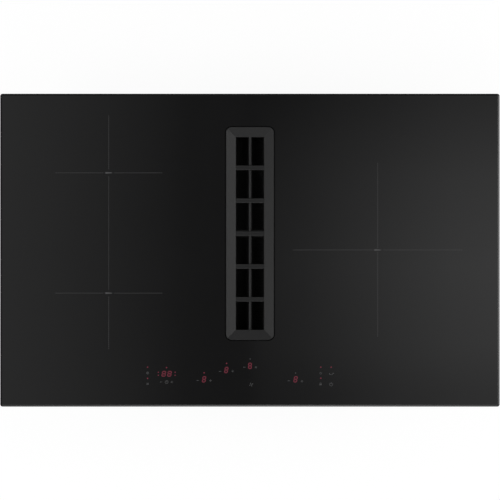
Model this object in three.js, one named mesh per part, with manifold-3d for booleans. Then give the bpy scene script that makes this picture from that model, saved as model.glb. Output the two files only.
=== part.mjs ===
// A built-in induction cooktop, 83 cm wide, with an extractor in the middle of its glass.
// Millimetres. +X is right, +Y is away from the user, +Z is up. The origin is on the ground
// under the middle of the glass. Every piece keeps its height above the ground as its own Z.
import * as THREE from "three";
import { mergeVertices } from "three/addons/utils/BufferGeometryUtils.js";
import Module from "manifold-3d";

const wasm = await Module();
wasm.setup();

// ---------------------------------------------------------------- driving dimensions

const overallHeight = 212;
const seatGap = 0.3; // between two pieces that touch
const slideGap = 1; // round a piece that is lowered into another

// Glass ceramic plate, its seals and the worktop it hangs in.
const glassWidth = 830;
const glassDepth = 520;
const glassThickness = 4;
const glassCornerRadius = 4;
const glassBevelWidth = 3;
const glassBevelDrop = 1.7;
const rimSealWidth = 10;
const rimSealThickness = 2.5;
const rimSealInset = 2;
const worktopThickness = 38;

// Lift-off cast grille.
const grilleWidth = 80;
const grilleCentreY = 27.8;
const grilleCornerRadius = 10;
const grilleGap = 1.5; // to the edge of the glass
const grilleSink = 0.3; // below the face of the glass
const grilleEndBorder = 16.75;
const openingSize = 47;
const openingCount = 6;
const ribWidth = 7.7;
const ribDepth = 11;
const ribCrown = 1; // rise of a rib's rounded top
const slopeDrop = 6.5;
const grilleEdge = 0.8;
const grilleShell = 2.5;
const spineWidth = 6;
const spineDrop = 5; // of the spine's top below the ribs' tops
const spineDepth = 8.5;

// Stepped well under the grille.
const wellWall = 2;
const wellRadius = 6;
const wellFlangeWidth = 12;
const wellSealThickness = 2;
const wellDrop = 11.4; // of the grille's ledge below the top of the grille
const grilleLedge = 6.5;
const filterLedge = 4;
const filterLedgeDrop = 16; // below the grille's ledge

// Filter unit that hangs in the well.
const filterSheet = 1.5;
const filterRimWidth = 5;
const filterRimGap = 0.5;
const filterThickness = 8;
const filterHeight = 94;
const filterLean = THREE.MathUtils.degToRad(10.6);
const filterFrameBorder = 6;
const filterRecess = 1.2; // of the mesh below its pressed frame
const filterHandleWidth = 12;
const gutterHeight = 9;

// Steel base pan.
const panWidth = 780;
const panDepth = 480;
const panHeight = 56;
const panCornerRadius = 10;
const panSheet = 1;
const panRimWidth = 8;
const panCollarHeight = 10;
const slotWidth = 4;
const slotLength = 26;
const slotPitch = 12;
const exhaustSlots = 7;
const exhaustRise = 11; // of the exhaust slots above the pan's floor
const beadWidth = 12;
const beadHeight = 1.5;
const beadsAlongY = [
  [-330, 25, 130],
  [-290, 25, 130],
  [-250, 25, 130],
];
const beadsAlongX = [
  [0, -205, 200],
  [-165, 178, 100],
];

// Coils: one row each of name, centre X, centre Y and outer radius.
const coils = [
  ["front_left", -234.6, -71.8, 90],
  ["rear_left", -234.6, 128.5, 90],
  ["right", 212.3, 0, 138],
];
const micaThickness = 0.6;
const windingThickness = 5;
const windingInnerRadius = 24;
const windingBand = 36; // between two grooves of a winding
const windingGroove = 1.2;
const micaMargin = 4; // of a mica sheet round its coil
const formerMargin = 2; // of a former round its coil
const ferritePitch = 15; // of coil radius for each ferrite bar
const formerThickness = 2.5;
const ferriteHeight = 4;
const ferriteWidth = 12;
const sensorRadius = 7;
const coilPlateThickness = 1.5;
const coilPlateLength = 400;
const coilPlateMargin = 8; // from the plate's edge to the largest coil
const coilPlateLegWidth = 24;

// Electronics on the floor of the pan.
const boardThickness = 1.6;
const boardStandoff = 5;
const powerBoardWidth = 250;
const powerBoardDepth = 170;
const powerBoardY = 20;
const postRadius = 3;
const postInset = 8; // of a post from two edges of its board
const tallPartsInset = 30; // of a power board's tall parts from its outer edge
const capacitorRadius = 12;
const capacitorHeight = 24;
const capacitorPlaces = [-60, -25, 10];
const chokeSize = [36, 30, 20];
const chokeY = 55;
const transistorBar = [60, 12, 14];
const transistorBarX = 10;
const transistorBarY = -66;
const heatSinkLength = 120;
const heatSinkFins = 9;
const heatSinkFinPitch = 6;
const heatSinkFinThickness = 1.4;
const heatSinkHeight = 24;
const heatSinkBase = 4;
const heatSinkY = 12; // of its middle behind the middle of the board
const coolingFanSize = 80;
const coolingFanHeight = 25;
const coolingFanX = 240;
const coolingFanY = -192;
const coolingFanBlades = 7;
const coolingFanHubRadius = 17;
const coolingFanCorner = 5;
const coolingFanWall = 2;
const coolingFanTipGap = 2;
const coolingFanHubHeight = 5;
const coolingFanStrut = [4, 3];
const coolingFanSpindle = 1.5;
const coolingFanSpindleLength = 12;
const coolingFanRotorRise = 6;
const coolingFanBladeChord = 16;
const coolingFanBladeThickness = 1.6;
const coolingFanBladeTilt = 35;
const mainsBoardWidth = 110;
const mainsBoardDepth = 70;
const mainsBoardY = 158;
const mainsChokeRadius = 13;
const mainsChokeHeight = 18;
const mainsChokePlaces = [-26, 8];
const mainsChokeY = 8;
const filmCapacitorSize = [26, 12, 22];
const filmCapacitorPlace = [38, 4];

// Touch board behind the front edge.
const touchBoardWidth = 326;
const touchBoardDepth = 46;
const touchBoardX = -17;
const touchBoardY = -206;
const displayHeight = 2;
const displays = [
  [-138.3, -206.1, 22],
  [-75.6, -215.1, 12],
  [-38.8, -199.6, 12],
  [0.2, -192.7, 12],
  [76.2, -215.1, 12],
];
const displayDepth = 15;
const carrierWall = 1.8;
const carrierDepth = 9;
const carrierLegWidth = 10;
const carrierStep = 4; // on which the board lies

// Plenum tub, scroll and lid of the extractor.
const mouldWall = 2.5;
const tubHeight = 60;
const tubFloorHeight = 8; // of the floor above the ground
const tubLeft = -62;
const tubFront = -166;
const tubCornerRadius = 24;
const tubRibPitch = 92;
const earRadius = 6; // of the screw ears that join tub and deck
const earReach = 4; // of an ear's axis from the wall
const earHeight = 12;
const earFacets = 6;
const leftEars = [-110, 120];
const frontEars = [0, 150];
const rightEars = [20, 150];
const rearEars = [0, 100];
const scrollX = 190;
const scrollY = 5;
const scrollStartRadius = 100;
const scrollEndRadius = 172;
const tongueAngle = THREE.MathUtils.degToRad(30);
const outletWidth = 222;
const outletY = 215;
const outletStraight = 30;
const lidThickness = 3;
const lidBossRadius = 4.5;
const lidBossReach = 2; // of a boss's axis from the spiral
const spiralSteps = 26;
const lidBossAngles = [215, 255, 295, 335];
const outletBossInset = 15; // of the last boss from the outlet
const spigotLength = 22;
const spigotInset = 3;

// Blower.
const impellerRadius = 90;
const impellerBlades = 11;
const bladeThickness = 2.2;
const bladeSweep = THREE.MathUtils.degToRad(52);
const bladeInnerRadius = 57;
const bladeSteps = 4;
const inletThroatRadius = 56;
const inletRunningGap = 2;
const impellerFloorGap = 6;
const impellerPlate = 2.5;
const hubCupRadius = 49;
const hubCupDepth = 30;
const hubBossRadius = 10;
const hubBossLength = 7;
const bellmouthReach = 14; // of the inlet ring's flange round its throat
const shaftRadius = 4;
const motorRadius = 43;
const motorFlangeRadius = 58;
const motorFlangeThickness = 4;
const motorTopGap = 9; // between the impeller's back plate and the lid
const motorCupGap = 2; // between the can and the impeller's cup
const motorChamfer = 3;
const shaftPastCup = 14;

// Drip tray under the well.
const trayWidth = 90;
const trayLength = 350;
const trayDepth = 36;
const trayWall = 2;
const trayFlange = 9;
const traySealThickness = 2;
const trayGripHeight = 1.8;
const trayGripWidth = 16;
const trayGripRadius = 5;
const traySealInset = 1; // from the flange's edge

// Worktop clamps.
const clampY = 150;
const clampArmLength = 55;
const clampArmWidth = 12;
const clampArmThickness = 3;
const clampTipHeight = 3;
const clampScrewRadius = 2.5;
const clampHeadRadius = 5;
const clampHeadHeight = 3.5;
const clampEar = 2.5;
const clampEarBelowArm = 5;
const clampEarAboveArm = 26;
const clampScrewEnd = 3; // of the screw past its upper ear
const clampFacets = 6; // of the screws and the ears' bores
const clampArmBoreFacets = 8; // enough for the arm to turn on its screw

// Mains connection under the pan, and the driver of the blower's motor.
const terminalX = -310;
const terminalY = 165;
const terminalWidth = 110;
const terminalDepth = 78;
const terminalHeight = 34;
const terminalWall = 2;
const terminalCoverThickness = 2.5;
const terminalCorner = 5;
const terminalCoverBorder = 12;
const terminalWays = 5;
const terminalPitch = 12;
const terminalBlockDepth = 24;
const terminalBlockHeight = 18;
const terminalScrewRadius = 3;
const terminalScrewDepth = 6;
const glandRadius = 11;
const glandBore = 5;
const glandLength = 24;
const glandInside = 6;
const glandThreadInset = 2;
const driverX = -165;
const driverY = -40;
const driverWidth = 130;
const driverDepth = 90;
const driverHeight = 28;
const driverCorner = 6;
const driverGrooves = 7;
const driverGroovePitch = 14;
const driverGrooveWidth = 5;
const driverGrooveDepth = 2;
const driverGrooveMargin = 15;

// ---------------------------------------------------------------- derived sizes and levels

const glassUnder = overallHeight - glassThickness;
const underGlass = glassUnder - seatGap;
const openingPitch = openingSize + ribWidth;
const openingsLength = openingCount * openingSize + (openingCount - 1) * ribWidth;
const grilleLength = openingsLength + 2 * grilleEndBorder;
const cutOutWidth = grilleWidth + 2 * grilleGap;
const cutOutLength = grilleLength + 2 * grilleGap;
const cutOutRadius = grilleCornerRadius + grilleGap;
const grilleTop = overallHeight - grilleSink;
const slopeFoot = grilleTop - slopeDrop;
const grilleLedgeZ = grilleTop - wellDrop;
const filterLedgeZ = grilleLedgeZ - filterLedgeDrop;
const socketWidth = cutOutWidth - 2 * grilleLedge;
const socketLength = cutOutLength - 2 * grilleLedge;
const shaftWidth = socketWidth - 2 * filterLedge;
const shaftLength = socketLength - 2 * filterLedge;
const panTop = underGlass;
const panUnder = panTop - panHeight;
const panFloor = panUnder + panSheet;
const panOpeningWidth = shaftWidth + 2 * wellWall + 2 * slideGap;
const panOpeningLength = shaftLength + 2 * wellWall + 2 * slideGap;
const micaTop = underGlass;
const windingTop = micaTop - micaThickness - seatGap;
const formerTop = windingTop - windingThickness - seatGap;
const ferriteUnder = formerTop - formerThickness - ferriteHeight;
const coilPlateTop = ferriteUnder - seatGap;
const boardUnder = panFloor + seatGap + boardStandoff;
const deckUnder = tubHeight + seatGap;
const deckTop = deckUnder + mouldWall;
const lidTop = panUnder - seatGap;
const lidUnder = lidTop - lidThickness;
const casingTop = lidUnder - seatGap;
const collarTop = panUnder - seatGap;
const collarWidth = panOpeningWidth + 2 * mouldWall;
const collarLength = panOpeningLength + 2 * mouldWall;
const backPlateTop = casingTop - motorTopGap;
const shroudUnder = deckTop + impellerFloorGap;
const hubDiscUnder = backPlateTop - hubCupDepth;
const trayTop = tubFloorHeight + trayDepth - traySealThickness;
const traySealTop = tubFloorHeight - seatGap;
const trayFlangeTop = traySealTop - traySealThickness - seatGap;
const trayUnder = trayFlangeTop - trayWall;
const clampArmTop = panTop - rimSealThickness - worktopThickness - clampTipHeight;
const clampAxisX = panWidth / 2 + slideGap + clampArmWidth / 2;

// ---------------------------------------------------------------- solids

const roundFacets = 24; // of large round pieces and of the holes they sit in
const boreFacets = 16; // of ducts and shafts
const smallFacets = 8; // of small round parts on the boards

// A closed three.js geometry as a solid that can be joined and cut.
function solid(geometry) {
  geometry.deleteAttribute("normal");
  geometry.deleteAttribute("uv");
  const merged = mergeVertices(geometry, 1e-4);
  const mesh = new wasm.Mesh({
    numProp: 3,
    vertProperties: new Float32Array(merged.attributes.position.array),
    triVerts: new Uint32Array(merged.index.array),
  });
  return new wasm.Manifold(mesh);
}

function geometryOf(shape) {
  const mesh = shape.getMesh();
  const geometry = new THREE.BufferGeometry();
  geometry.setAttribute("position", new THREE.BufferAttribute(mesh.vertProperties, 3));
  geometry.setIndex(new THREE.BufferAttribute(mesh.triVerts, 1));
  geometry.computeVertexNormals();
  return geometry;
}

const join = (first, ...others) => others.reduce((sum, other) => sum.add(other), first);
const cut = (body, ...tools) => tools.reduce((rest, tool) => rest.subtract(tool), body);

function block(width, depth, z0, z1, x = 0, y = 0) {
  const geometry = new THREE.BoxGeometry(width, depth, z1 - z0);
  return solid(geometry.translate(x, y, (z0 + z1) / 2));
}

// A block whose top and bottom are rectangles of different sizes.
function taperedBlock(lowSize, highSize, z0, z1) {
  const geometry = new THREE.BoxGeometry(1, 1, z1 - z0);
  const corners = geometry.attributes.position;
  for (let i = 0; i < corners.count; i++) {
    const [width, depth] = corners.getZ(i) > 0 ? highSize : lowSize;
    corners.setXY(i, corners.getX(i) * width, corners.getY(i) * depth);
  }
  return solid(geometry.translate(0, 0, (z0 + z1) / 2));
}

function roundedRectangle(width, depth, radius) {
  const x = width / 2 - radius;
  const y = depth / 2 - radius;
  const shape = new THREE.Shape();
  shape.absarc(x, y, radius, 0, Math.PI / 2);
  shape.absarc(-x, y, radius, Math.PI / 2, Math.PI);
  shape.absarc(-x, -y, radius, Math.PI, 1.5 * Math.PI);
  shape.absarc(x, -y, radius, 1.5 * Math.PI, 2 * Math.PI);
  return shape;
}

// Each quarter circle of the shape gets twice as many facets as the curve segments.
function prism(shape, z0, z1, curveSegments = 2) {
  const options = { depth: z1 - z0, bevelEnabled: false, curveSegments };
  return solid(new THREE.ExtrudeGeometry(shape, options).translate(0, 0, z0));
}

const roundedBlock = (width, depth, radius, z0, z1, curveSegments = 2) =>
  prism(roundedRectangle(width, depth, radius), z0, z1, curveSegments);

// A rounded plate with a rounded opening right through it.
function ringPlate(outer, inner, z0, z1, curveSegments = 2) {
  const plate = roundedBlock(...outer, z0, z1, curveSegments);
  return cut(plate, roundedBlock(...inner, z0 - 1, z1 + 1, curveSegments));
}

function cylinder(radius, z0, z1, x = 0, y = 0, segments = 12) {
  const geometry = new THREE.CylinderGeometry(radius, radius, z1 - z0, segments);
  return solid(geometry.rotateX(Math.PI / 2).translate(x, y, (z0 + z1) / 2));
}

// A profile of [radius, z] pairs, turned round the Z axis. It closes on itself.
function turned(profile, segments = roundFacets) {
  const points = profile.map(([radius, z]) => new THREE.Vector2(radius, z));
  points.push(points[0].clone());
  return solid(new THREE.LatheGeometry(points, segments).rotateX(Math.PI / 2));
}

// A bar along Y between two heights, whose top rises in the middle by its crown.
function roundedBar(width, length, z0, z1, crown) {
  const half = width / 2;
  const profile = new THREE.Shape();
  profile.moveTo(-half, z0);
  profile.lineTo(half, z0);
  profile.absellipse(0, z1 - crown, half, crown, 0, Math.PI);
  const options = { depth: length, bevelEnabled: false, curveSegments: 3 };
  const geometry = new THREE.ExtrudeGeometry(profile, options);
  return solid(geometry.rotateX(Math.PI / 2).translate(0, length / 2, 0));
}

const shifted = (shape, x, y, z = 0) => shape.translate([x, y, z]);
const spun = (shape, degrees) => shape.rotate([0, 0, degrees]);

// ---------------------------------------------------------------- finishes

function finish(color, roughness, metalness) {
  return new THREE.MeshStandardMaterial({ color, roughness, metalness });
}

const blackGlass = finish(0x0a0a0b, 0.06, 0);
const castBlack = finish(0x26272a, 0.42, 0.3);
const galvanised = finish(0xa9adb0, 0.42, 0.9);
const stainless = finish(0xb9bbbd, 0.32, 1);
const aluminium = finish(0xc4c6c8, 0.38, 1);
const copper = finish(0x8c5233, 0.5, 0.8);
const mica = finish(0xb9ac8d, 0.7, 0);
const darkPlastic = finish(0x1d1e20, 0.6, 0);
const greyPlastic = finish(0x55585b, 0.62, 0);
const silicone = finish(0x303234, 0.8, 0);
const foam = finish(0x151516, 0.95, 0);
const boardGreen = finish(0x1f4a2c, 0.55, 0);
const motorSteel = finish(0x8a8d90, 0.4, 1);
const zincSteel = finish(0xb4b6b3, 0.36, 1);

// ---------------------------------------------------------------- scene graph

const cooktop = new THREE.Group();

function group(parent, x = 0, y = 0) {
  const made = new THREE.Group();
  made.position.set(x, y, 0);
  parent.add(made);
  return made;
}

function piece(parent, name, shape, material) {
  const mesh = new THREE.Mesh(geometryOf(shape), material);
  mesh.name = name;
  parent.add(mesh);
  return mesh;
}

const well = group(cooktop, 0, grilleCentreY);
const scroll = group(cooktop, scrollX, scrollY);

// ---------------------------------------------------------------- glass and seals

// The plate's upper edge is ground to a bevel all round; its cut-out is plain.
function glassPlate() {
  const outline = roundedRectangle(glassWidth, glassDepth, glassCornerRadius);
  const bevelled = new THREE.ExtrudeGeometry(outline, {
    depth: glassThickness - 2 * glassBevelDrop,
    bevelThickness: glassBevelDrop,
    bevelSize: glassBevelWidth,
    bevelOffset: -glassBevelWidth,
    bevelSegments: 1,
    curveSegments: 2,
  });
  const plate = solid(bevelled.translate(0, 0, glassUnder + glassBevelDrop));
  const square = prism(outline, glassUnder, overallHeight - glassBevelDrop);
  const cutOut = roundedBlock(cutOutWidth, cutOutLength, cutOutRadius, glassUnder - 1, overallHeight + 1);
  return cut(join(plate, square), shifted(cutOut, 0, grilleCentreY));
}

function rimSeal() {
  const width = glassWidth - 2 * rimSealInset;
  const depth = glassDepth - 2 * rimSealInset;
  const outer = [width, depth, glassCornerRadius];
  const inner = [width - 2 * rimSealWidth, depth - 2 * rimSealWidth, glassCornerRadius];
  return ringPlate(outer, inner, underGlass - rimSealThickness, underGlass, 1);
}

piece(cooktop, "glass_top", glassPlate(), blackGlass);
piece(cooktop, "rim_seal", rimSeal(), foam);

// ---------------------------------------------------------------- grille

// Four flat faces slope from the outer edge to the openings and meet in mitres. Below them
// hang a skirt, the lips of the opening, the cross ribs and one lower spine along the middle.
function inletGrille() {
  const under = grilleLedgeZ + seatGap;
  const body = roundedBlock(grilleWidth, grilleLength, grilleCornerRadius, under, grilleTop);
  const rimSize = [grilleWidth - 2 * grilleEdge, grilleLength - 2 * grilleEdge];
  const funnel = taperedBlock([openingSize, openingsLength], rimSize, slopeFoot, grilleTop);
  const lipWidth = openingSize + 2 * grilleShell;
  const lipLength = openingsLength + 2 * grilleShell;
  const underSlope = taperedBlock(
    [lipWidth, lipLength],
    [rimSize[0] + 2 * grilleShell, rimSize[1] + 2 * grilleShell],
    slopeFoot - grilleShell,
    grilleTop - grilleShell,
  );
  const skirtWidth = grilleWidth - 2 * grilleShell;
  const skirtLength = grilleLength - 2 * grilleShell;
  const skirtRadius = grilleCornerRadius - grilleShell;
  const hollow = roundedBlock(skirtWidth, skirtLength, skirtRadius, 0, slopeFoot + slopeDrop / 2);
  const ribUnder = slopeFoot - ribDepth;
  const lips = block(lipWidth, lipLength, ribUnder, slopeFoot);
  const opening = block(openingSize, openingsLength, 0, overallHeight);
  let grille = cut(body, funnel, cut(hollow, underSlope)).add(lips).subtract(opening);
  const rib = spun(roundedBar(ribWidth, openingSize + grilleShell, ribUnder, slopeFoot, ribCrown), 90);
  for (let i = 1; i < openingCount; i++) {
    grille = grille.add(shifted(rib, 0, (i - openingCount / 2) * openingPitch));
  }
  const spineTop = slopeFoot - spineDrop;
  const spineLength = openingsLength + grilleShell;
  const spine = roundedBar(spineWidth, spineLength, spineTop - spineDepth, spineTop, spineWidth / 2);
  return grille.add(spine);
}

piece(well, "inlet_grille", inletGrille(), castBlack);

// ---------------------------------------------------------------- well and filter unit

// Two ledges step the moulded well inwards: the upper one carries the grille and the lower
// one the rim of the filter unit. Its flange is bonded under the glass.
function wellLiner() {
  const flangeTop = underGlass - wellSealThickness - seatGap;
  const double = 2 * wellWall;
  const flangeWidth = cutOutWidth + 2 * wellFlangeWidth;
  const flangeLength = cutOutLength + 2 * wellFlangeWidth;
  const flange = roundedBlock(flangeWidth, flangeLength, cutOutRadius, flangeTop - wellWall, flangeTop);
  const top = roundedBlock(
    cutOutWidth + double,
    cutOutLength + double,
    cutOutRadius,
    grilleLedgeZ - wellWall,
    flangeTop,
  );
  const middle = roundedBlock(
    socketWidth + double,
    socketLength + double,
    wellRadius,
    filterLedgeZ - wellWall,
    grilleLedgeZ,
    1,
  );
  const low = roundedBlock(shaftWidth + double, shaftLength + double, wellRadius, deckUnder, filterLedgeZ, 1);
  return cut(
    join(flange, top, middle, low),
    roundedBlock(cutOutWidth, cutOutLength, cutOutRadius, grilleLedgeZ, overallHeight),
    roundedBlock(socketWidth, socketLength, wellRadius - wellWall, filterLedgeZ, overallHeight, 1),
    roundedBlock(shaftWidth, shaftLength, wellRadius - wellWall, 0, overallHeight),
  );
}

const wellSealOuter = [cutOutWidth + 2 * wellFlangeWidth, cutOutLength + 2 * wellFlangeWidth, cutOutRadius];
const wellSealInner = [cutOutWidth, cutOutLength, cutOutRadius];
piece(well, "well_liner", wellLiner(), darkPlastic);
piece(
  well,
  "well_seal",
  ringPlate(wellSealOuter, wellSealInner, underGlass - wellSealThickness, underGlass),
  silicone,
);

// The filters lean together like a V from the rim down into a gutter between two end plates.
const filterRimTop = filterLedgeZ + seatGap + filterSheet;
const filterLength = shaftLength - 2 * slideGap - 2 * filterSheet - 2 * seatGap;
const filterSpanX = (filterHeight / 2) * Math.sin(filterLean);
const filterCornerRise = (filterThickness / 2) * Math.sin(filterLean);
const filterSpanZ = (filterHeight / 2) * Math.cos(filterLean) + filterCornerRise;
const filterMiddleX = shaftWidth / 2 - slideGap - filterThickness / 2 - filterSpanX;
const filterMiddleZ = filterRimTop - filterSheet - seatGap - filterSpanZ;
const gutterFloor = filterMiddleZ - filterSpanZ - seatGap;
const gutterSlack = gutterHeight * Math.tan(filterLean) + seatGap;
const gutterHalf = filterMiddleX - filterSpanX + filterThickness / 2 + gutterSlack;

function filterFrame() {
  const rimOuterWidth = socketWidth - 2 * filterRimGap;
  const rimOuterLength = socketLength - 2 * filterRimGap;
  const rim = ringPlate(
    [rimOuterWidth, rimOuterLength, wellRadius - wellWall],
    [rimOuterWidth - 2 * filterRimWidth, rimOuterLength - 2 * filterRimWidth, filterSheet],
    filterRimTop - filterSheet,
    filterRimTop,
    1,
  );
  const handleLength = rimOuterWidth - filterRimWidth;
  const handle = block(handleLength, filterHandleWidth, filterRimTop - filterSheet, filterRimTop);
  const endPlate = new THREE.Shape();
  const topHalf = shaftWidth / 2 - slideGap;
  endPlate.moveTo(-gutterHalf, gutterFloor);
  endPlate.lineTo(gutterHalf, gutterFloor);
  endPlate.lineTo(topHalf, filterRimTop);
  endPlate.lineTo(-topHalf, filterRimTop);
  const options = { depth: filterSheet, bevelEnabled: false };
  const end = solid(new THREE.ExtrudeGeometry(endPlate, options).rotateX(Math.PI / 2));
  const endY = filterLength / 2 + seatGap;
  const gutterOuter = gutterHalf + filterSheet;
  const gutter = cut(
    block(2 * gutterOuter, 2 * (endY + filterSheet), gutterFloor - filterSheet, gutterFloor + gutterHeight),
    block(2 * gutterHalf, 2 * endY, gutterFloor, gutterFloor + gutterHeight + 1),
  );
  return join(rim, handle, gutter, shifted(end, 0, endY + filterSheet), shifted(end, 0, -endY));
}

// A pressed frame holds the layers of mesh, which lie a little deeper than the frame.
function greaseFilter(side) {
  const meshHeight = filterHeight - 2 * filterFrameBorder;
  const meshLength = filterLength - 2 * filterFrameBorder;
  const panel = block(filterThickness, filterLength, -filterHeight / 2, filterHeight / 2);
  const face = block(2 * filterRecess, meshLength, -meshHeight / 2, meshHeight / 2);
  const halfThickness = filterThickness / 2;
  const panelWithFaces = cut(panel, shifted(face, halfThickness, 0), shifted(face, -halfThickness, 0));
  const leaning = panelWithFaces.rotate([0, side * THREE.MathUtils.radToDeg(filterLean), 0]);
  return shifted(leaning, side * filterMiddleX, 0, filterMiddleZ);
}

piece(well, "filter_frame", filterFrame(), stainless);
piece(well, "grease_filter_left", greaseFilter(-1), stainless);
piece(well, "grease_filter_right", greaseFilter(1), stainless);

// ---------------------------------------------------------------- base pan

// A row of upright slots, as a list of solids to cut, along X in a wall that faces Y.
function slotRow(count, x, y, z0) {
  const middle = (count - 1) / 2;
  return Array.from({ length: count }, (_, i) =>
    block(slotWidth, 4 * panSheet, z0, z0 + slotLength, x + (i - middle) * slotPitch, y),
  );
}

// The floor's air intake: straight slots inside the circle of the cooling fan.
function intakeSlots(x, y) {
  const radius = coolingFanSize / 2 - 2 * coolingFanTipGap;
  const slots = [];
  for (let dx = -radius + slotPitch / 2; dx < radius; dx += slotPitch) {
    const half = Math.sqrt(radius * radius - dx * dx);
    slots.push(block(slotWidth, 2 * half, panUnder - 1, panFloor + 1, x + dx, y));
  }
  return slots;
}

// Two ears on the side wall hold the upright screw of a worktop clamp.
function clampEars(sideX, sideY) {
  const width = clampArmWidth;
  const reach = clampAxisX + width / 2 - panWidth / 2 + panSheet / 2;
  const middleX = panWidth / 2 - panSheet / 2 + reach / 2;
  const bore = cylinder(clampScrewRadius + seatGap, 0, overallHeight, clampAxisX, 0, clampFacets);
  const underArm = clampArmTop - clampArmThickness;
  const levels = [underArm - clampEarBelowArm, clampArmTop + clampEarAboveArm];
  const ears = levels.map((z) => cut(block(reach, width, z - clampEar, z, middleX), bore));
  return ears.map((ear) => shifted(sideX > 0 ? ear : spun(ear, 180), 0, sideY * clampY));
}

// A stiffening bead pressed up into the floor: what it adds above and what it takes below.
function floorBead(width, length, x, y) {
  const draft = 2 * beadHeight;
  const outer = [width + 2 * panSheet, length + 2 * panSheet];
  const raised = taperedBlock(
    outer,
    outer.map((size) => size - draft),
    panUnder + panSheet / 2,
    panFloor + beadHeight,
  );
  const pressed = taperedBlock(
    [width, length],
    [width - draft, length - draft],
    panUnder - seatGap,
    panUnder + beadHeight,
  );
  return { raised: shifted(raised, x, y), pressed: shifted(pressed, x, y) };
}

function basePan() {
  const shell = cut(
    roundedBlock(panWidth, panDepth, panCornerRadius, panUnder, panTop),
    roundedBlock(
      panWidth - 2 * panSheet,
      panDepth - 2 * panSheet,
      panCornerRadius - panSheet,
      panFloor,
      panTop - panSheet,
      1,
    ),
    roundedBlock(
      panWidth - 2 * panRimWidth,
      panDepth - 2 * panRimWidth,
      panCornerRadius / 2,
      panTop - 2 * panSheet,
      panTop + 1,
      1,
    ),
  );
  const collar = roundedBlock(
    panOpeningWidth + 2 * panSheet,
    panOpeningLength + 2 * panSheet,
    wellRadius + panSheet,
    panUnder,
    panUnder + panCollarHeight,
  );
  const opening = roundedBlock(panOpeningWidth, panOpeningLength, wellRadius, 0, overallHeight);
  const exhaustZ = panFloor + exhaustRise;
  const slots = [
    ...slotRow(exhaustSlots, -coolingFanX, panDepth / 2, exhaustZ),
    ...slotRow(exhaustSlots, coolingFanX, panDepth / 2, exhaustZ),
    ...intakeSlots(-coolingFanX, coolingFanY),
    ...intakeSlots(coolingFanX, coolingFanY),
  ];
  const ears = [-1, 1].flatMap((x) => [-1, 1].flatMap((y) => clampEars(x, y)));
  const beads = [
    ...beadsAlongY.map(([x, y, length]) => floorBead(beadWidth, length, x, y)),
    ...beadsAlongX.map(([x, y, length]) => floorBead(length, beadWidth, x, y)),
  ];
  const raised = beads.map((bead) => bead.raised);
  const pressed = beads.map((bead) => bead.pressed);
  const tray = join(shell, shifted(collar, 0, grilleCentreY), ...ears, ...raised);
  return cut(tray, shifted(opening, 0, grilleCentreY), ...slots, ...pressed);
}

piece(cooktop, "base_pan", basePan(), galvanised);

// ---------------------------------------------------------------- induction coils

// Litz wire wound flat, in bands of turns with a groove between each two.
function coilWinding(radius) {
  const under = windingTop - windingThickness;
  const bands = Math.round((radius - windingInnerRadius) / windingBand);
  const pitch = (radius - windingInnerRadius) / bands;
  const profile = [
    [windingInnerRadius, under],
    [radius, under],
    [radius, windingTop],
  ];
  for (let i = 1; i < bands; i++) {
    const groove = radius - i * pitch;
    profile.push([groove + windingGroove, windingTop], [groove, windingTop - windingGroove]);
    profile.push([groove - windingGroove, windingTop]);
  }
  profile.push([windingInnerRadius, windingTop]);
  return turned(profile);
}

// The former's disc carries the winding, and ferrite bars are set in its underside.
function coilFormer(radius) {
  const under = formerTop - formerThickness;
  const hub = windingInnerRadius - formerMargin;
  const disc = turned([
    [sensorRadius + seatGap, under],
    [radius + formerMargin, under],
    [radius + formerMargin, formerTop],
    [hub, formerTop],
    [hub, windingTop - windingThickness / 2],
    [sensorRadius + seatGap, windingTop - windingThickness / 2],
  ]);
  const barCount = Math.round(radius / ferritePitch);
  const barLength = radius - hub;
  const barTop = under + formerThickness / 4;
  const bar = block(barLength, ferriteWidth, ferriteUnder, barTop, hub + barLength / 2);
  const bars = Array.from({ length: barCount }, (_, i) => spun(bar, (360 * i) / barCount));
  return join(disc, ...bars);
}

function coilPlate(side) {
  const own = coils.filter(([, x]) => Math.sign(x) === side);
  const radius = Math.max(...own.map((coil) => coil[3]));
  const x = own[0][1];
  const width = 2 * (radius + coilPlateMargin);
  const under = coilPlateTop - coilPlateThickness;
  const legInset = coilPlateLegWidth / 2 + coilPlateMargin;
  const plate = [block(width, coilPlateLength, under, coilPlateTop)];
  for (const sx of [-1, 1]) {
    for (const sy of [-1, 1]) {
      const legX = sx * (width / 2 - coilPlateThickness / 2);
      const legY = sy * (coilPlateLength / 2 - legInset);
      const legTop = coilPlateTop - coilPlateThickness / 2;
      plate.push(block(coilPlateThickness, coilPlateLegWidth, panFloor + seatGap, legTop, legX, legY));
    }
  }
  const centreHoles = own.map(([, , y]) => cylinder(windingInnerRadius, 0, overallHeight, 0, y - grilleCentreY));
  return { x, shape: cut(join(...plate), ...centreHoles) };
}

for (const [name, x, y, radius] of coils) {
  const zone = group(cooktop, x, y);
  const disc = [
    [0, micaTop - micaThickness],
    [radius + micaMargin, micaTop - micaThickness],
    [radius + micaMargin, micaTop],
    [0, micaTop],
  ];
  piece(zone, "mica_sheet_" + name, turned(disc), mica);
  piece(zone, "coil_winding_" + name, coilWinding(radius), copper);
  piece(zone, "coil_former_" + name, coilFormer(radius), darkPlastic);
  const sensorTop = micaTop - micaThickness - seatGap;
  piece(zone, "coil_sensor_" + name, cylinder(sensorRadius, ferriteUnder, sensorTop), stainless);
}

for (const [name, side] of [["left", -1], ["right", 1]]) {
  const { x, shape } = coilPlate(side);
  piece(group(cooktop, x, grilleCentreY), "coil_plate_" + name, shape, aluminium);
}

// ---------------------------------------------------------------- power electronics

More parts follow.
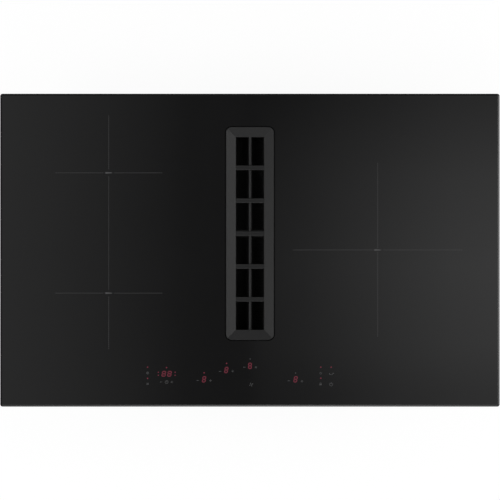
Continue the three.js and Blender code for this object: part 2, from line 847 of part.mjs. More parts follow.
function boardOnPosts(width, depth) {
  const board = block(width, depth, boardUnder, boardUnder + boardThickness);
  const posts = [-1, 1].flatMap((sx) =>
    [-1, 1].map((sy) => {
      const x = sx * (width / 2 - postInset);
      const y = sy * (depth / 2 - postInset);
      return cylinder(postRadius, panFloor + seatGap, boardUnder + boardThickness / 2, x, y, 6);
    }),
  );
  return join(board, ...posts);
}

// Capacitors and a choke stand along the board's outer edge, and transistors along its front.
function powerBoard(side) {
  const face = boardUnder + boardThickness / 2;
  const x = side * (powerBoardWidth / 2 - tallPartsInset);
  const capacitors = capacitorPlaces.map((y) =>
    cylinder(capacitorRadius, face, face + capacitorHeight, x, y, smallFacets),
  );
  const [chokeWidth, chokeDepth, chokeHeight] = chokeSize;
  const choke = block(chokeWidth, chokeDepth, face, face + chokeHeight, x, chokeY);
  const [barWidth, barDepth, barHeight] = transistorBar;
  const barX = side * transistorBarX;
  const transistors = block(barWidth, barDepth, face, face + barHeight, barX, transistorBarY);
  return join(boardOnPosts(powerBoardWidth, powerBoardDepth), ...capacitors, choke, transistors);
}

// An extruded aluminium comb: a base with upright fins along Y.
function heatSink() {
  const under = boardUnder + boardThickness + seatGap;
  const width = (heatSinkFins - 1) * heatSinkFinPitch + heatSinkFinThickness;
  const fins = Array.from({ length: heatSinkFins }, (_, i) => {
    const x = (i - (heatSinkFins - 1) / 2) * heatSinkFinPitch;
    return block(heatSinkFinThickness, heatSinkLength, under, under + heatSinkHeight, x);
  });
  return join(block(width, heatSinkLength, under, under + heatSinkBase), ...fins);
}

// The frame's struts hold a hub with a spindle, on which the rotor turns.
const rotorUnder = panFloor + seatGap + coolingFanRotorRise;
const spindleTop = rotorUnder + coolingFanSpindleLength;

function coolingFanFrame() {
  const under = panFloor + seatGap;
  const ductRadius = coolingFanSize / 2 - coolingFanWall;
  const frame = cut(
    roundedBlock(coolingFanSize, coolingFanSize, coolingFanCorner, under, under + coolingFanHeight, 1),
    cylinder(ductRadius, 0, overallHeight, 0, 0, boreFacets),
  );
  const hub = cylinder(coolingFanHubRadius - coolingFanWall, under, under + coolingFanHubHeight);
  const spindle = cylinder(coolingFanSpindle, under, spindleTop, 0, 0, 6);
  const [strutWidth, strutHeight] = coolingFanStrut;
  const strut = block(coolingFanSize - coolingFanWall, strutWidth, under, under + strutHeight);
  return join(frame, hub, spindle, spun(strut, 45), spun(strut, 135));
}

function coolingFanRotor() {
  const tip = coolingFanSize / 2 - coolingFanWall - coolingFanTipGap;
  const top = panFloor + coolingFanHeight - seatGap;
  const hub = cut(
    cylinder(coolingFanHubRadius, rotorUnder, top),
    cylinder(coolingFanSpindle + seatGap, 0, spindleTop + seatGap, 0, 0, 6),
  );
  const root = coolingFanHubRadius - coolingFanBladeThickness;
  const half = coolingFanBladeChord / 2;
  const flat = block(tip - root, coolingFanBladeThickness, -half, half, (tip + root) / 2);
  const blade = flat.rotate([coolingFanBladeTilt, 0, 0]);
  const middle = (rotorUnder + top) / 2;
  const blades = Array.from({ length: coolingFanBlades }, (_, i) =>
    spun(shifted(blade, 0, 0, middle), (360 * i) / coolingFanBlades),
  );
  return join(hub, ...blades);
}

for (const [name, side] of [["left", -1], ["right", 1]]) {
  const electronics = group(cooktop, side * coolingFanX, powerBoardY);
  piece(electronics, "power_board_" + name, powerBoard(side), boardGreen);
  const sink = piece(electronics, "heat_sink_" + name, heatSink(), aluminium);
  sink.position.set(-side * (powerBoardWidth / 2 - heatSinkFins * heatSinkFinPitch), heatSinkY, 0);
  const fan = group(cooktop, side * coolingFanX, coolingFanY);
  piece(fan, "cooling_fan_frame_" + name, coolingFanFrame(), darkPlastic);
  piece(fan, "cooling_fan_rotor_" + name, coolingFanRotor(), darkPlastic);
}

// Mains filter beside the cable entry: two chokes and a film capacitor.
function mainsFilterBoard() {
  const face = boardUnder + boardThickness / 2;
  const chokes = mainsChokePlaces.map((x) =>
    cylinder(mainsChokeRadius, face, face + mainsChokeHeight, x, mainsChokeY, smallFacets),
  );
  const [width, depth, height] = filmCapacitorSize;
  const capacitor = block(width, depth, face, face + height, ...filmCapacitorPlace);
  return join(boardOnPosts(mainsBoardWidth, mainsBoardDepth), ...chokes, capacitor);
}

const mainsFilter = piece(cooktop, "mains_filter_board", mainsFilterBoard(), boardGreen);
mainsFilter.position.set(terminalX, mainsBoardY, 0);

// ---------------------------------------------------------------- touch board

const touchBoardTop = underGlass - displayHeight - seatGap;
const touchBoardUnder = touchBoardTop - boardThickness;

// The board carries the digit displays, which reach up to the glass.
function touchBoard() {
  const board = block(touchBoardWidth, touchBoardDepth, touchBoardUnder, touchBoardTop, touchBoardX, touchBoardY);
  const modules = displays.map(([x, y, width]) =>
    block(width, displayDepth, touchBoardTop - boardThickness / 2, underGlass, x, y),
  );
  return join(board, ...modules);
}

// A shallow moulded trough holds the board on an inner step and stands on the pan's floor.
function touchBoardCarrier() {
  const top = touchBoardTop;
  const under = touchBoardUnder - carrierDepth;
  const innerWidth = touchBoardWidth + 2 * seatGap;
  const innerDepth = touchBoardDepth + 2 * seatGap;
  const outerWidth = innerWidth + 2 * carrierWall;
  const outerDepth = innerDepth + 2 * carrierWall;
  const trough = cut(
    block(outerWidth, outerDepth, under, top),
    block(innerWidth, innerDepth, touchBoardUnder - seatGap, top + 1),
    block(innerWidth - 2 * carrierStep, innerDepth - 2 * carrierStep, under + carrierWall, top + 1),
  );
  const legs = [-1, 1].flatMap((sx) =>
    [-1, 1].map((sy) => {
      const x = sx * (outerWidth - carrierLegWidth) / 2;
      const y = sy * (outerDepth - carrierLegWidth) / 2;
      return block(carrierLegWidth, carrierLegWidth, panFloor + seatGap, under + 1, x, y);
    }),
  );
  return shifted(join(trough, ...legs), touchBoardX, touchBoardY);
}

piece(cooktop, "touch_board", touchBoard(), boardGreen);
piece(cooktop, "touch_board_carrier", touchBoardCarrier(), darkPlastic);

// ---------------------------------------------------------------- plenum tub

const tubRight = scrollX + scrollEndRadius + mouldWall;
const tubFrontRightRadius = scrollEndRadius - 20;

// Round corners, and a large one where the shell follows the scroll above it.
function tubOutline(inset) {
  const left = tubLeft + inset;
  const right = tubRight - inset;
  const front = tubFront + inset;
  const rear = outletY - inset;
  const small = tubCornerRadius - inset;
  const large = tubFrontRightRadius - inset;
  const outline = new THREE.Shape();
  outline.absarc(left + small, front + small, small, Math.PI, 1.5 * Math.PI);
  outline.absarc(right - large, front + large, large, 1.5 * Math.PI, 2 * Math.PI);
  outline.absarc(right - small, rear - small, small, 0, Math.PI / 2);
  outline.absarc(left + small, rear - small, small, Math.PI / 2, Math.PI);
  return outline;
}

// Ears round the joint between tub and deck, which screws draw together.
function jointEars(z0, z1) {
  const sites = [
    ...leftEars.map((y) => [tubLeft - earReach, y]),
    ...rightEars.map((y) => [tubRight + earReach, y]),
    ...frontEars.map((x) => [x, tubFront - earReach]),
    ...rearEars.map((x) => [x, outletY + earReach]),
  ];
  return sites.map(([x, y]) => cylinder(earRadius, z0, z1, x, y, earFacets));
}

// Under the tub's floor a lattice of ribs reaches down to the ground, clear of the drip tray.
function plenumTub() {
  const outer = (z0, z1) => prism(tubOutline(0), z0, z1, 3);
  const inner = (z0, z1) => prism(tubOutline(mouldWall), z0, z1, 3);
  const ribs = [];
  const ribLength = glassWidth;
  for (let x = tubRight - tubRibPitch; x > trayWidth; x -= tubRibPitch) {
    ribs.push(block(mouldWall, ribLength, 0, tubFloorHeight + 1, x));
  }
  for (let y = tubFront + tubRibPitch; y < outletY - tubRibPitch / 2; y += tubRibPitch) {
    ribs.push(block(ribLength, mouldWall, 0, tubFloorHeight + 1, 0, y));
  }
  const lattice = join(...ribs).intersect(outer(0, tubFloorHeight + 1));
  const shell = cut(
    outer(0, tubHeight),
    inner(tubFloorHeight + mouldWall, tubHeight + 1),
    inner(-1, tubFloorHeight),
  );
  const trayBay = roundedBlock(
    trayWidth + 2 * trayFlange + 2 * slideGap,
    trayLength + 2 * trayFlange + 2 * slideGap,
    wellRadius + trayFlange,
    -1,
    tubFloorHeight,
  );
  const trayHole = roundedBlock(
    trayWidth + 2 * slideGap,
    trayLength + 2 * slideGap,
    wellRadius + slideGap,
    -1,
    tubFloorHeight + mouldWall + 1,
  );
  const bay = shifted(trayBay, 0, grilleCentreY);
  const hole = shifted(trayHole, 0, grilleCentreY);
  const ears = jointEars(tubHeight - earHeight, tubHeight);
  return cut(join(shell, lattice, ...ears), bay, hole);
}

piece(cooktop, "plenum_tub", plenumTub(), greyPlastic);

// The tray closes the tub from below, and catches what the filters let through.
function dripTray() {
  const width = trayWidth + 2 * trayFlange;
  const length = trayLength + 2 * trayFlange;
  const flange = roundedBlock(width, length, wellRadius + trayFlange - slideGap, trayUnder, trayFlangeTop);
  const cup = roundedBlock(trayWidth, trayLength, wellRadius, trayUnder, trayTop);
  const hollow = roundedBlock(
    trayWidth - 2 * trayWall,
    trayLength - 2 * trayWall,
    wellRadius - trayWall,
    trayUnder + trayWall,
    trayTop + 1,
    1,
  );
  const gripUnder = trayUnder - trayGripHeight;
  const grip = roundedBlock(trayGripWidth, trayLength / 4, trayGripRadius, gripUnder, trayUnder + 1, 1);
  return cut(join(flange, cup, grip), hollow);
}

const traySealReach = trayFlange - traySealInset;
const traySealOuter = [
  trayWidth + 2 * traySealReach,
  trayLength + 2 * traySealReach,
  wellRadius + traySealReach - slideGap,
];
const traySealInner = [trayWidth + 2 * slideGap, trayLength + 2 * slideGap, wellRadius + slideGap];
piece(well, "drip_tray", dripTray(), greyPlastic);
piece(
  well,
  "drip_tray_seal",
  ringPlate(traySealOuter, traySealInner, traySealTop - traySealThickness, traySealTop, 1),
  silicone,
);

// ---------------------------------------------------------------- scroll casing

const spiralRadius = (angle) =>
  scrollStartRadius +
  ((scrollEndRadius - scrollStartRadius) * (angle - tongueAngle)) / (2 * Math.PI - tongueAngle);

// The spiral opens steadily from the tongue to the outlet side.
function spiralOutline(inset) {
  const outline = new THREE.Shape();
  for (let i = 0; i <= spiralSteps; i++) {
    const angle = tongueAngle + ((2 * Math.PI - tongueAngle) * i) / spiralSteps;
    const radius = spiralRadius(angle) - inset;
    const x = radius * Math.cos(angle);
    const y = radius * Math.sin(angle);
    if (i === 0) outline.moveTo(x, y);
    else outline.lineTo(x, y);
  }
  return outline;
}

// The outlet widens from the tongue to the flat duct's width at the rear.
function outletOutline(inset, past) {
  const right = scrollEndRadius - inset;
  const left = scrollEndRadius - outletWidth + inset;
  const end = outletY - scrollY;
  const tongueX = scrollStartRadius * Math.cos(tongueAngle) + inset;
  const tongueY = scrollStartRadius * Math.sin(tongueAngle);
  const outline = new THREE.Shape();
  outline.moveTo(right, 0);
  outline.lineTo(right, end + past);
  outline.lineTo(left, end + past);
  outline.lineTo(left, end - outletStraight);
  const pull = 2 * outletStraight;
  outline.bezierCurveTo(left, end - pull, tongueX, tongueY + pull, tongueX, tongueY);
  outline.lineTo(tongueX, 0);
  return outline;
}

function scrollSolid(inset, z0, z1, past = 0) {
  return join(prism(spiralOutline(inset), z0, z1), prism(outletOutline(inset, past), z0, z1, 6));
}

// Bosses outside the wall, into which the lid is screwed.
function lidBosses(z0, z1) {
  const onSpiral = lidBossAngles.map((degrees) => {
    const angle = THREE.MathUtils.degToRad(degrees);
    const radius = spiralRadius(angle) + lidBossReach;
    return [radius * Math.cos(angle), radius * Math.sin(angle)];
  });
  const outletLeft = scrollEndRadius - outletWidth - lidBossReach;
  const sites = [...onSpiral, [outletLeft, outletY - scrollY - outletBossInset]];
  return sites.map(([x, y]) => cylinder(lidBossRadius, z0, z1, x, y, earFacets));
}

// The deck closes the tub. Moulded on it are a collar round the well and the joint's ears.
function fanCasing() {
  const deck = prism(tubOutline(0), deckUnder, deckTop, 3);
  const ears = jointEars(deckUnder, deckTop);
  const plate = shifted(join(deck, ...ears), -scrollX, -scrollY);
  const collarX = -scrollX;
  const collarY = grilleCentreY - scrollY;
  const collar = roundedBlock(collarWidth, collarLength, wellRadius + mouldWall, deckUnder, collarTop);
  const passage = roundedBlock(panOpeningWidth, panOpeningLength, wellRadius, 0, overallHeight);
  const inlet = cylinder(inletThroatRadius + mouldWall + seatGap, 0, deckTop + 1, 0, 0, roundFacets);
  return cut(join(plate, shifted(collar, collarX, collarY)), shifted(passage, collarX, collarY), inlet);
}

// The spiral wall stands on the deck and is open at the outlet.
function scrollWall() {
  const under = deckTop + seatGap;
  const outer = join(scrollSolid(0, under, casingTop), ...lidBosses(under, casingTop));
  return cut(outer, scrollSolid(mouldWall, 0, overallHeight, 1));
}

piece(scroll, "fan_casing", fanCasing(), greyPlastic);
piece(scroll, "scroll_wall", scrollWall(), greyPlastic);

const casingLid = join(scrollSolid(0, lidUnder, lidTop), ...lidBosses(lidUnder, lidTop));
piece(scroll, "casing_lid", casingLid, greyPlastic);

// The bellmouth is fixed under the deck, and its throat reaches into the impeller's eye.
function inletRing() {
  const lipZ = deckUnder - seatGap - mouldWall;
  const outer = inletThroatRadius + mouldWall;
  return turned([
    [inletThroatRadius, shroudUnder + impellerPlate],
    [inletThroatRadius, lipZ + 2 * mouldWall],
    [inletThroatRadius + 2 * mouldWall, lipZ - mouldWall / 2],
    [outer + bellmouthReach, lipZ],
    [outer + bellmouthReach, lipZ + mouldWall],
    [outer, lipZ + mouldWall],
    [outer, shroudUnder + impellerPlate],
  ]);
}

piece(scroll, "inlet_ring", inletRing(), darkPlastic);

// ---------------------------------------------------------------- impeller and motor

// A backward-curved blade: its middle line turns back as it runs outwards.
function bladeOutline() {
  const edge = (side) =>
    Array.from({ length: bladeSteps + 1 }, (_, i) => {
      const share = i / bladeSteps;
      const radius = bladeInnerRadius + (impellerRadius - 1 - bladeInnerRadius) * share;
      const angle = -bladeSweep * share + (side * bladeThickness) / (2 * radius);
      return new THREE.Vector2(radius * Math.cos(angle), radius * Math.sin(angle));
    });
  return new THREE.Shape([...edge(-1), ...edge(1).reverse()]);
}

// Blades stand between a shroud ring and a back plate. The plate dips in a cup that clears
// the motor, and the cup's boss is fixed on the shaft.
function fanImpeller() {
  const plateUnder = backPlateTop - impellerPlate;
  const discTop = hubDiscUnder + impellerPlate;
  const boreRadius = shaftRadius + seatGap;
  const hub = turned([
    [boreRadius, hubDiscUnder - hubBossLength],
    [hubBossRadius, hubDiscUnder - hubBossLength],
    [hubBossRadius, hubDiscUnder],
    [hubCupRadius, hubDiscUnder],
    [hubCupRadius + impellerPlate, plateUnder],
    [impellerRadius, plateUnder],
    [impellerRadius, backPlateTop],
    [hubCupRadius, backPlateTop],
    [hubCupRadius - impellerPlate, discTop],
    [boreRadius, discTop],
  ]);
  const eye = inletThroatRadius + mouldWall + inletRunningGap;
  const shroud = turned([
    [eye, shroudUnder],
    [impellerRadius, shroudUnder],
    [impellerRadius, shroudUnder + impellerPlate],
    [eye, shroudUnder + impellerPlate],
  ]);
  const blade = prism(bladeOutline(), shroudUnder + impellerPlate / 2, plateUnder + 1);
  const eyeClearance = cylinder(eye, 0, shroudUnder + 2 * impellerPlate, 0, 0, roundFacets);
  const clearedBlade = cut(blade, eyeClearance);
  const blades = Array.from({ length: impellerBlades }, (_, i) =>
    spun(clearedBlade, (360 * i) / impellerBlades),
  );
  return join(hub, shroud, ...blades);
}

// External-rotor motor: a flange under the lid, a finned can, and the bearing of the shaft.
const shaftTop = hubDiscUnder + impellerPlate + shaftPastCup;

function fanMotor() {
  const canUnder = hubDiscUnder + impellerPlate + motorCupGap;
  const flangeUnder = casingTop - motorFlangeThickness;
  return turned([
    [shaftRadius + seatGap, canUnder],
    [motorRadius - motorChamfer, canUnder],
    [motorRadius, canUnder + motorChamfer],
    [motorRadius, flangeUnder],
    [motorFlangeRadius, flangeUnder],
    [motorFlangeRadius, casingTop],
    [0, casingTop],
    [0, shaftTop + seatGap],
    [shaftRadius + seatGap, shaftTop + seatGap],
  ]);
}

piece(scroll, "fan_impeller", fanImpeller(), darkPlastic);
piece(
  scroll,
  "impeller_shaft",
  cylinder(shaftRadius, hubDiscUnder - hubBossLength - motorCupGap, shaftTop, 0, 0, boreFacets),
  zincSteel,
);
piece(scroll, "fan_motor", fanMotor(), motorSteel);

// ---------------------------------------------------------------- duct spigot

// A flange closes on the outlet, and a slightly smaller sleeve takes the flat duct.
function ductSpigot() {
  const width = outletWidth;
  const z0 = deckUnder;
  const z1 = casingTop;
  const depthAt = (shape, y) => shifted(shape, 0, y);
  const flange = depthAt(block(width, mouldWall, z0, z1), mouldWall / 2);
  const sleeve = block(width - 2 * spigotInset, spigotLength, z0 + spigotInset, z1 - spigotInset);
  const boreInset = spigotInset + mouldWall;
  const bore = block(width - 2 * boreInset, 3 * spigotLength, z0 + boreInset, z1 - boreInset);
  return cut(join(flange, depthAt(sleeve, spigotLength / 2)), bore);
}

const spigot = piece(cooktop, "duct_spigot", ductSpigot(), greyPlastic);
spigot.position.set(scrollX + scrollEndRadius - outletWidth / 2, outletY + seatGap, 0);

// ---------------------------------------------------------------- worktop clamps

// The arm turns on its screw and presses its tip up under the worktop.
function clampArm(direction) {
  const under = clampArmTop - clampArmThickness;
  const half = clampArmWidth / 2;
  const bar = block(clampArmWidth, clampArmLength, under, clampArmTop, 0, (direction * clampArmLength) / 2);
  const eye = cylinder(half, under, clampArmTop);
  const tipY = direction * (clampArmLength - clampArmThickness / 2);
  const tip = block(clampArmWidth, clampArmThickness, under, clampArmTop + clampTipHeight, 0, tipY);
  const bore = cylinder(clampScrewRadius + seatGap, 0, overallHeight, 0, 0, clampArmBoreFacets);
  return cut(join(bar, eye, tip), bore);
}

function clampScrew() {
  const earUnder = clampArmTop - clampArmThickness - clampEarBelowArm - clampEar;
  const headTop = earUnder - seatGap;
  const top = clampArmTop + clampEarAboveArm + clampScrewEnd;
  const head = cylinder(clampHeadRadius, headTop - clampHeadHeight, headTop, 0, 0, 6);
  return join(head, cylinder(clampScrewRadius, headTop - seatGap, top, 0, 0, clampFacets));
}

for (const [side, sx] of [["left", -1], ["right", 1]]) {
  for (const [end, sy] of [["front", -1], ["rear", 1]]) {
    const clamp = group(cooktop, sx * clampAxisX, sy * clampY);
    piece(clamp, `clamp_arm_${end}_${side}`, clampArm(-sy), zincSteel);
    piece(clamp, `clamp_screw_${end}_${side}`, clampScrew(), zincSteel);
  }
}

// ---------------------------------------------------------------- mains connection, driver

const terminal = group(cooktop, terminalX, terminalY);
const terminalUnder = lidTop - terminalHeight;

function terminalBox() {
  const shell = cut(
    roundedBlock(terminalWidth, terminalDepth, terminalCorner, terminalUnder, lidTop, 1),
    roundedBlock(
      terminalWidth - 2 * terminalWall,
      terminalDepth - 2 * terminalWall,
      terminalCorner - terminalWall,
      terminalUnder - 1,
      lidTop - terminalWall,
      1,
    ),
  );
  const threadRadius = glandRadius - glandThreadInset;
  const hole = cylinder(threadRadius, -terminalDepth, 0).rotate([90, 0, 0]);
  return cut(shell, shifted(hole, terminalWidth / 4, 0, terminalUnder + terminalHeight / 2));
}

// The ways lie in a row, each with a screw well in its face.
function terminalBlock() {
  const top = lidTop - terminalWall - seatGap;
  const under = top - terminalBlockHeight;
  const body = block(terminalWays * terminalPitch, terminalBlockDepth, under, top);
  const wells = Array.from({ length: terminalWays }, (_, i) => {
    const x = (i - (terminalWays - 1) / 2) * terminalPitch;
    return cylinder(terminalScrewRadius, under - 1, under + terminalScrewDepth, x, 0, 6);
  });
  return cut(body, ...wells);
}

function terminalCover() {
  const top = terminalUnder - seatGap;
  const under = top - terminalCoverThickness;
  const padWidth = terminalWidth - 2 * terminalCoverBorder;
  const padDepth = terminalDepth - 2 * terminalCoverBorder;
  return join(
    roundedBlock(terminalWidth, terminalDepth, terminalCorner, under, top, 1),
    roundedBlock(padWidth, padDepth, terminalCorner, under - terminalCoverThickness, top, 1),
  );
}

// The thread passes the wall into the box. Outside are a hexagonal body and a tapering nut.
function cableGland() {
  const threadRadius = glandRadius - glandThreadInset - seatGap;
  const nutRadius = glandRadius - glandThreadInset / 2;
  const body = turned(
    [
      [glandBore, -glandInside],
      [threadRadius, -glandInside],
      [threadRadius, seatGap],
      [glandRadius + glandThreadInset, seatGap],
      [glandRadius + glandThreadInset, glandLength / 2],
      [nutRadius, glandLength / 2],
      [nutRadius, glandLength * 0.75],
      [glandBore + glandThreadInset, glandLength],
      [glandBore, glandLength],
    ],
    12,
  );
  return body.rotate([-90, 0, 0]);
}

piece(terminal, "terminal_box", terminalBox(), darkPlastic);
piece(terminal, "terminal_block", terminalBlock(), mica);
piece(terminal, "terminal_cover", terminalCover(), darkPlastic);
const gland = piece(terminal, "cable_gland", cableGland(), darkPlastic);
gland.position.set(terminalWidth / 4, terminalDepth / 2, terminalUnder + terminalHeight / 2);

// A closed case with cooling grooves on its underside, screwed under the pan.
function driverBox() {
  const under = lidTop - driverHeight;
  const grooveLength = driverDepth - 2 * driverGrooveMargin;
  const grooves = Array.from({ length: driverGrooves }, (_, i) => {
    const x = (i - (driverGrooves - 1) / 2) * driverGroovePitch;
    return block(driverGrooveWidth, grooveLength, under - 1, under + driverGrooveDepth, x);
  });
  return cut(roundedBlock(driverWidth, driverDepth, driverCorner, under, lidTop), ...grooves);
}

const driver = piece(cooktop, "fan_driver_box", driverBox(), darkPlastic);
driver.position.set(driverX, driverY, 0);

export default cooktop;
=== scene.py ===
import math

import bmesh
import bpy
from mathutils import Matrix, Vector


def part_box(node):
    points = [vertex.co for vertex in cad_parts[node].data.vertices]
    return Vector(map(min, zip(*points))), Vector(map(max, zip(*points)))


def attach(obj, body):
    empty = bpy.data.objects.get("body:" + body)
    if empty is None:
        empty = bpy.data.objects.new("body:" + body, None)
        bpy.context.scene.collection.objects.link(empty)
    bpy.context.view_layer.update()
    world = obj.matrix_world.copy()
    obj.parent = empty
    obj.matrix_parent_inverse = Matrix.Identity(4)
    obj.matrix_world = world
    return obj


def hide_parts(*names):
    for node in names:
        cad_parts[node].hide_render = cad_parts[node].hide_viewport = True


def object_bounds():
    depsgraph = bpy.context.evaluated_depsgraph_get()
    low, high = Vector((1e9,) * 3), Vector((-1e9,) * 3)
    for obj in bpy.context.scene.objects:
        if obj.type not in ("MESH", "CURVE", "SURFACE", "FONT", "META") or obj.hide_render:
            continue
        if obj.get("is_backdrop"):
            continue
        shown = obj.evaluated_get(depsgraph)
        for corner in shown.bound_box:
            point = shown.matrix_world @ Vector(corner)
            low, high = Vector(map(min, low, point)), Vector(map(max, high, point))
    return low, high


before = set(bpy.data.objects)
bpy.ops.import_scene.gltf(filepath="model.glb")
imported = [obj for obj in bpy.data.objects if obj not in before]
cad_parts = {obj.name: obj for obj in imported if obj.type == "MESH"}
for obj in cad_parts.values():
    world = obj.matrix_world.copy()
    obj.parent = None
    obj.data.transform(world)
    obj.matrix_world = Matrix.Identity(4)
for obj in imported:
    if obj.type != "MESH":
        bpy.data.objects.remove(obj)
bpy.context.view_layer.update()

# ================================================================ base pan
# The pan is drawn from 1 mm galvanised sheet. Its zinc shows a faint spangle under dull
# rolling marks. Flanged screws from below hold the boards, fans and coil plates inside it.


def wire(tree, node, inputs):
    """Sets a node's inputs, by name or number, to plain values or to other nodes' outputs."""
    for key, value in inputs.items():
        socket = node.inputs[key]
        if isinstance(value, bpy.types.NodeSocket):
            tree.links.new(value, socket)
        else:
            socket.default_value = value


def put(tree, kind, inputs=None, **settings):
    node = tree.nodes.new("ShaderNode" + kind)
    for name, value in settings.items():
        setattr(node, name, value)
    wire(tree, node, inputs or {})
    return node


def material(name, inputs):
    """A node material whose shader has these plain inputs."""
    made = bpy.data.materials.new(name)
    made.use_nodes = True
    shader = made.node_tree.nodes["Principled BSDF"]
    wire(made.node_tree, shader, inputs)
    return made, made.node_tree, shader


def grey(value):
    return (value, value, value, 1.0)


def ramp(tree, value, *stops):
    """Turns a value into a colour, or into a grey that serves as a value again."""
    node = put(tree, "ValToRGB", {"Fac": value})
    elements = node.color_ramp.elements
    elements.remove(elements[1])
    for number, (position, colour) in enumerate(stops):
        element = elements.new(position) if number else elements[0]
        element.position = position
        element.color = colour if isinstance(colour, tuple) else grey(colour)
    return node.outputs["Color"]


def remap(tree, value, low, high, to_low, to_high):
    ends = {"Value": value, 1: low, 2: high, 3: to_low, 4: to_high}
    return put(tree, "MapRange", ends).outputs["Result"]


def mixed(tree, share, first, second):
    inputs = {0: share, 6: first, 7: second}
    return put(tree, "Mix", inputs, data_type="RGBA").outputs[2]


def bumped(tree, height, distance, normal=None):
    inputs = {"Height": height, "Distance": distance}
    if normal:
        inputs["Normal"] = normal
    return put(tree, "Bump", inputs).outputs["Normal"]


def shader_group(name, inputs, outputs):
    """An empty group with named sockets, its own inputs node and its outputs node."""
    group = bpy.data.node_groups.new(name, "ShaderNodeTree")
    for label, kind, value in inputs:
        socket = group.interface.new_socket(label, in_out="INPUT", socket_type="NodeSocket" + kind)
        socket.default_value = value
    for label, kind in outputs:
        group.interface.new_socket(label, in_out="OUTPUT", socket_type="NodeSocket" + kind)
    return group, group.nodes.new("NodeGroupInput"), group.nodes.new("NodeGroupOutput")


def effect(tree, group, inputs):
    node = put(tree, "Group", node_tree=group)
    wire(tree, node, inputs)
    return node.outputs


def grain_group():
    """Fine grain of a given size, which may be stretched along an axis, over broad patches."""
    sizes = [
        ("Scale", "Float", 900.0), ("Stretch", "Vector", (1, 1, 1)), ("Patch Scale", "Float", 14.0)
    ]
    group, source, sink = shader_group("grain", sizes, [("Fine", "Float"), ("Patches", "Float")])
    place = put(group, "TexCoord").outputs["Object"]
    stretch = {"Vector": place, "Scale": source.outputs["Stretch"]}
    along = put(group, "Mapping", stretch).outputs["Vector"]
    fine = put(group, "TexNoise", {"Vector": along, "Scale": source.outputs["Scale"], "Detail": 3.0})
    broad = {"Vector": place, "Scale": source.outputs["Patch Scale"], "Detail": 4.0, "Roughness": 0.6}
    patches = put(group, "TexNoise", broad)
    wire(group, sink, {"Fine": fine.outputs[0], "Patches": patches.outputs[0]})
    return group


def worn_edges_group():
    """A slightly rounded normal along sharp edges, and a mask of the edges themselves."""
    outputs = [("Mask", "Float"), ("Normal", "Vector")]
    group, source, sink = shader_group("worn_edges", [("Radius", "Float", 0.0006)], outputs)
    rounded = put(group, "Bevel", {"Radius": source.outputs["Radius"]}, samples=4).outputs[0]
    true_normal = put(group, "NewGeometry").outputs["Normal"]
    both = {0: rounded, 1: true_normal}
    likeness = put(group, "VectorMath", both, operation="DOT_PRODUCT").outputs["Value"]
    wire(group, sink, {"Mask": remap(group, likeness, 0.995, 0.86, 0.0, 1.0), "Normal": rounded})
    return group


def dust_group():
    """Loose dust that settles on faces that look up, thicker in some places."""
    group, source, sink = shader_group("dust", [("Amount", "Float", 0.3)], [("Mask", "Float")])
    facing = put(group, "SeparateXYZ", {0: put(group, "NewGeometry").outputs["Normal"]}).outputs["Z"]
    up = remap(group, facing, 0.5, 1.0, 0.0, 1.0)
    place = put(group, "TexCoord").outputs["Object"]
    cloud = put(group, "TexNoise", {"Vector": place, "Scale": 26.0, "Detail": 6.0, "Roughness": 0.7})
    thick = remap(group, cloud.outputs[0], 0.35, 0.75, 0.0, 1.0)
    settled = put(group, "Math", {0: up, 1: thick}, operation="MULTIPLY").outputs[0]
    scaled = {0: settled, 1: source.outputs["Amount"]}
    wire(group, sink, {"Mask": put(group, "Math", scaled, operation="MULTIPLY").outputs[0]})
    return group


def facets_group():
    """A geometry group that joins a mesh's split corners and shades its low facets smooth."""
    group = bpy.data.node_groups.new("smooth_facets", "GeometryNodeTree")
    group.interface.new_socket("Geometry", in_out="INPUT", socket_type="NodeSocketGeometry")
    limit = group.interface.new_socket("Sharp Above", in_out="INPUT", socket_type="NodeSocketFloat")
    group.interface.new_socket("Geometry", in_out="OUTPUT", socket_type="NodeSocketGeometry")
    limit.default_value = math.radians(33)
    add, link = group.nodes.new, group.links.new
    source, sink = add("NodeGroupInput"), add("NodeGroupOutput")
    merge, plain = add("GeometryNodeMergeByDistance"), add("GeometryNodeRemoveAttribute")
    merge.inputs["Distance"].default_value = 1e-6
    plain.inputs["Name"].default_value = "custom_normal"
    faces, edges = add("GeometryNodeSetShadeSmooth"), add("GeometryNodeSetShadeSmooth")
    edges.domain = "EDGE"
    angle, low = add("GeometryNodeInputMeshEdgeAngle"), add("FunctionNodeCompare")
    low.operation = "LESS_THAN"
    link(source.outputs["Geometry"], merge.inputs["Geometry"])
    link(merge.outputs["Geometry"], plain.inputs["Geometry"])
    link(plain.outputs["Geometry"], faces.inputs["Geometry"])
    link(faces.outputs["Geometry"], edges.inputs["Geometry"])
    link(angle.outputs["Unsigned Angle"], low.inputs[0])
    link(source.outputs["Sharp Above"], low.inputs[1])
    link(low.outputs[0], edges.inputs["Shade Smooth"])
    link(edges.outputs["Geometry"], sink.inputs["Geometry"])
    return group, limit.identifier


grain, worn_edges, dust = grain_group(), worn_edges_group(), dust_group()
smooth_facets, sharp_above = facets_group()


def dress(finish, *nodes, sharp=33):
    """Gives CAD nodes their finish, and shades facets smooth that meet at less than sharp."""
    for name in nodes:
        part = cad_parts[name]
        for place in part.material_slots:
            place.material = finish
        smooth = part.modifiers.new("smooth_facets", "NODES")
        smooth.node_group = smooth_facets
        smooth[sharp_above] = math.radians(sharp)


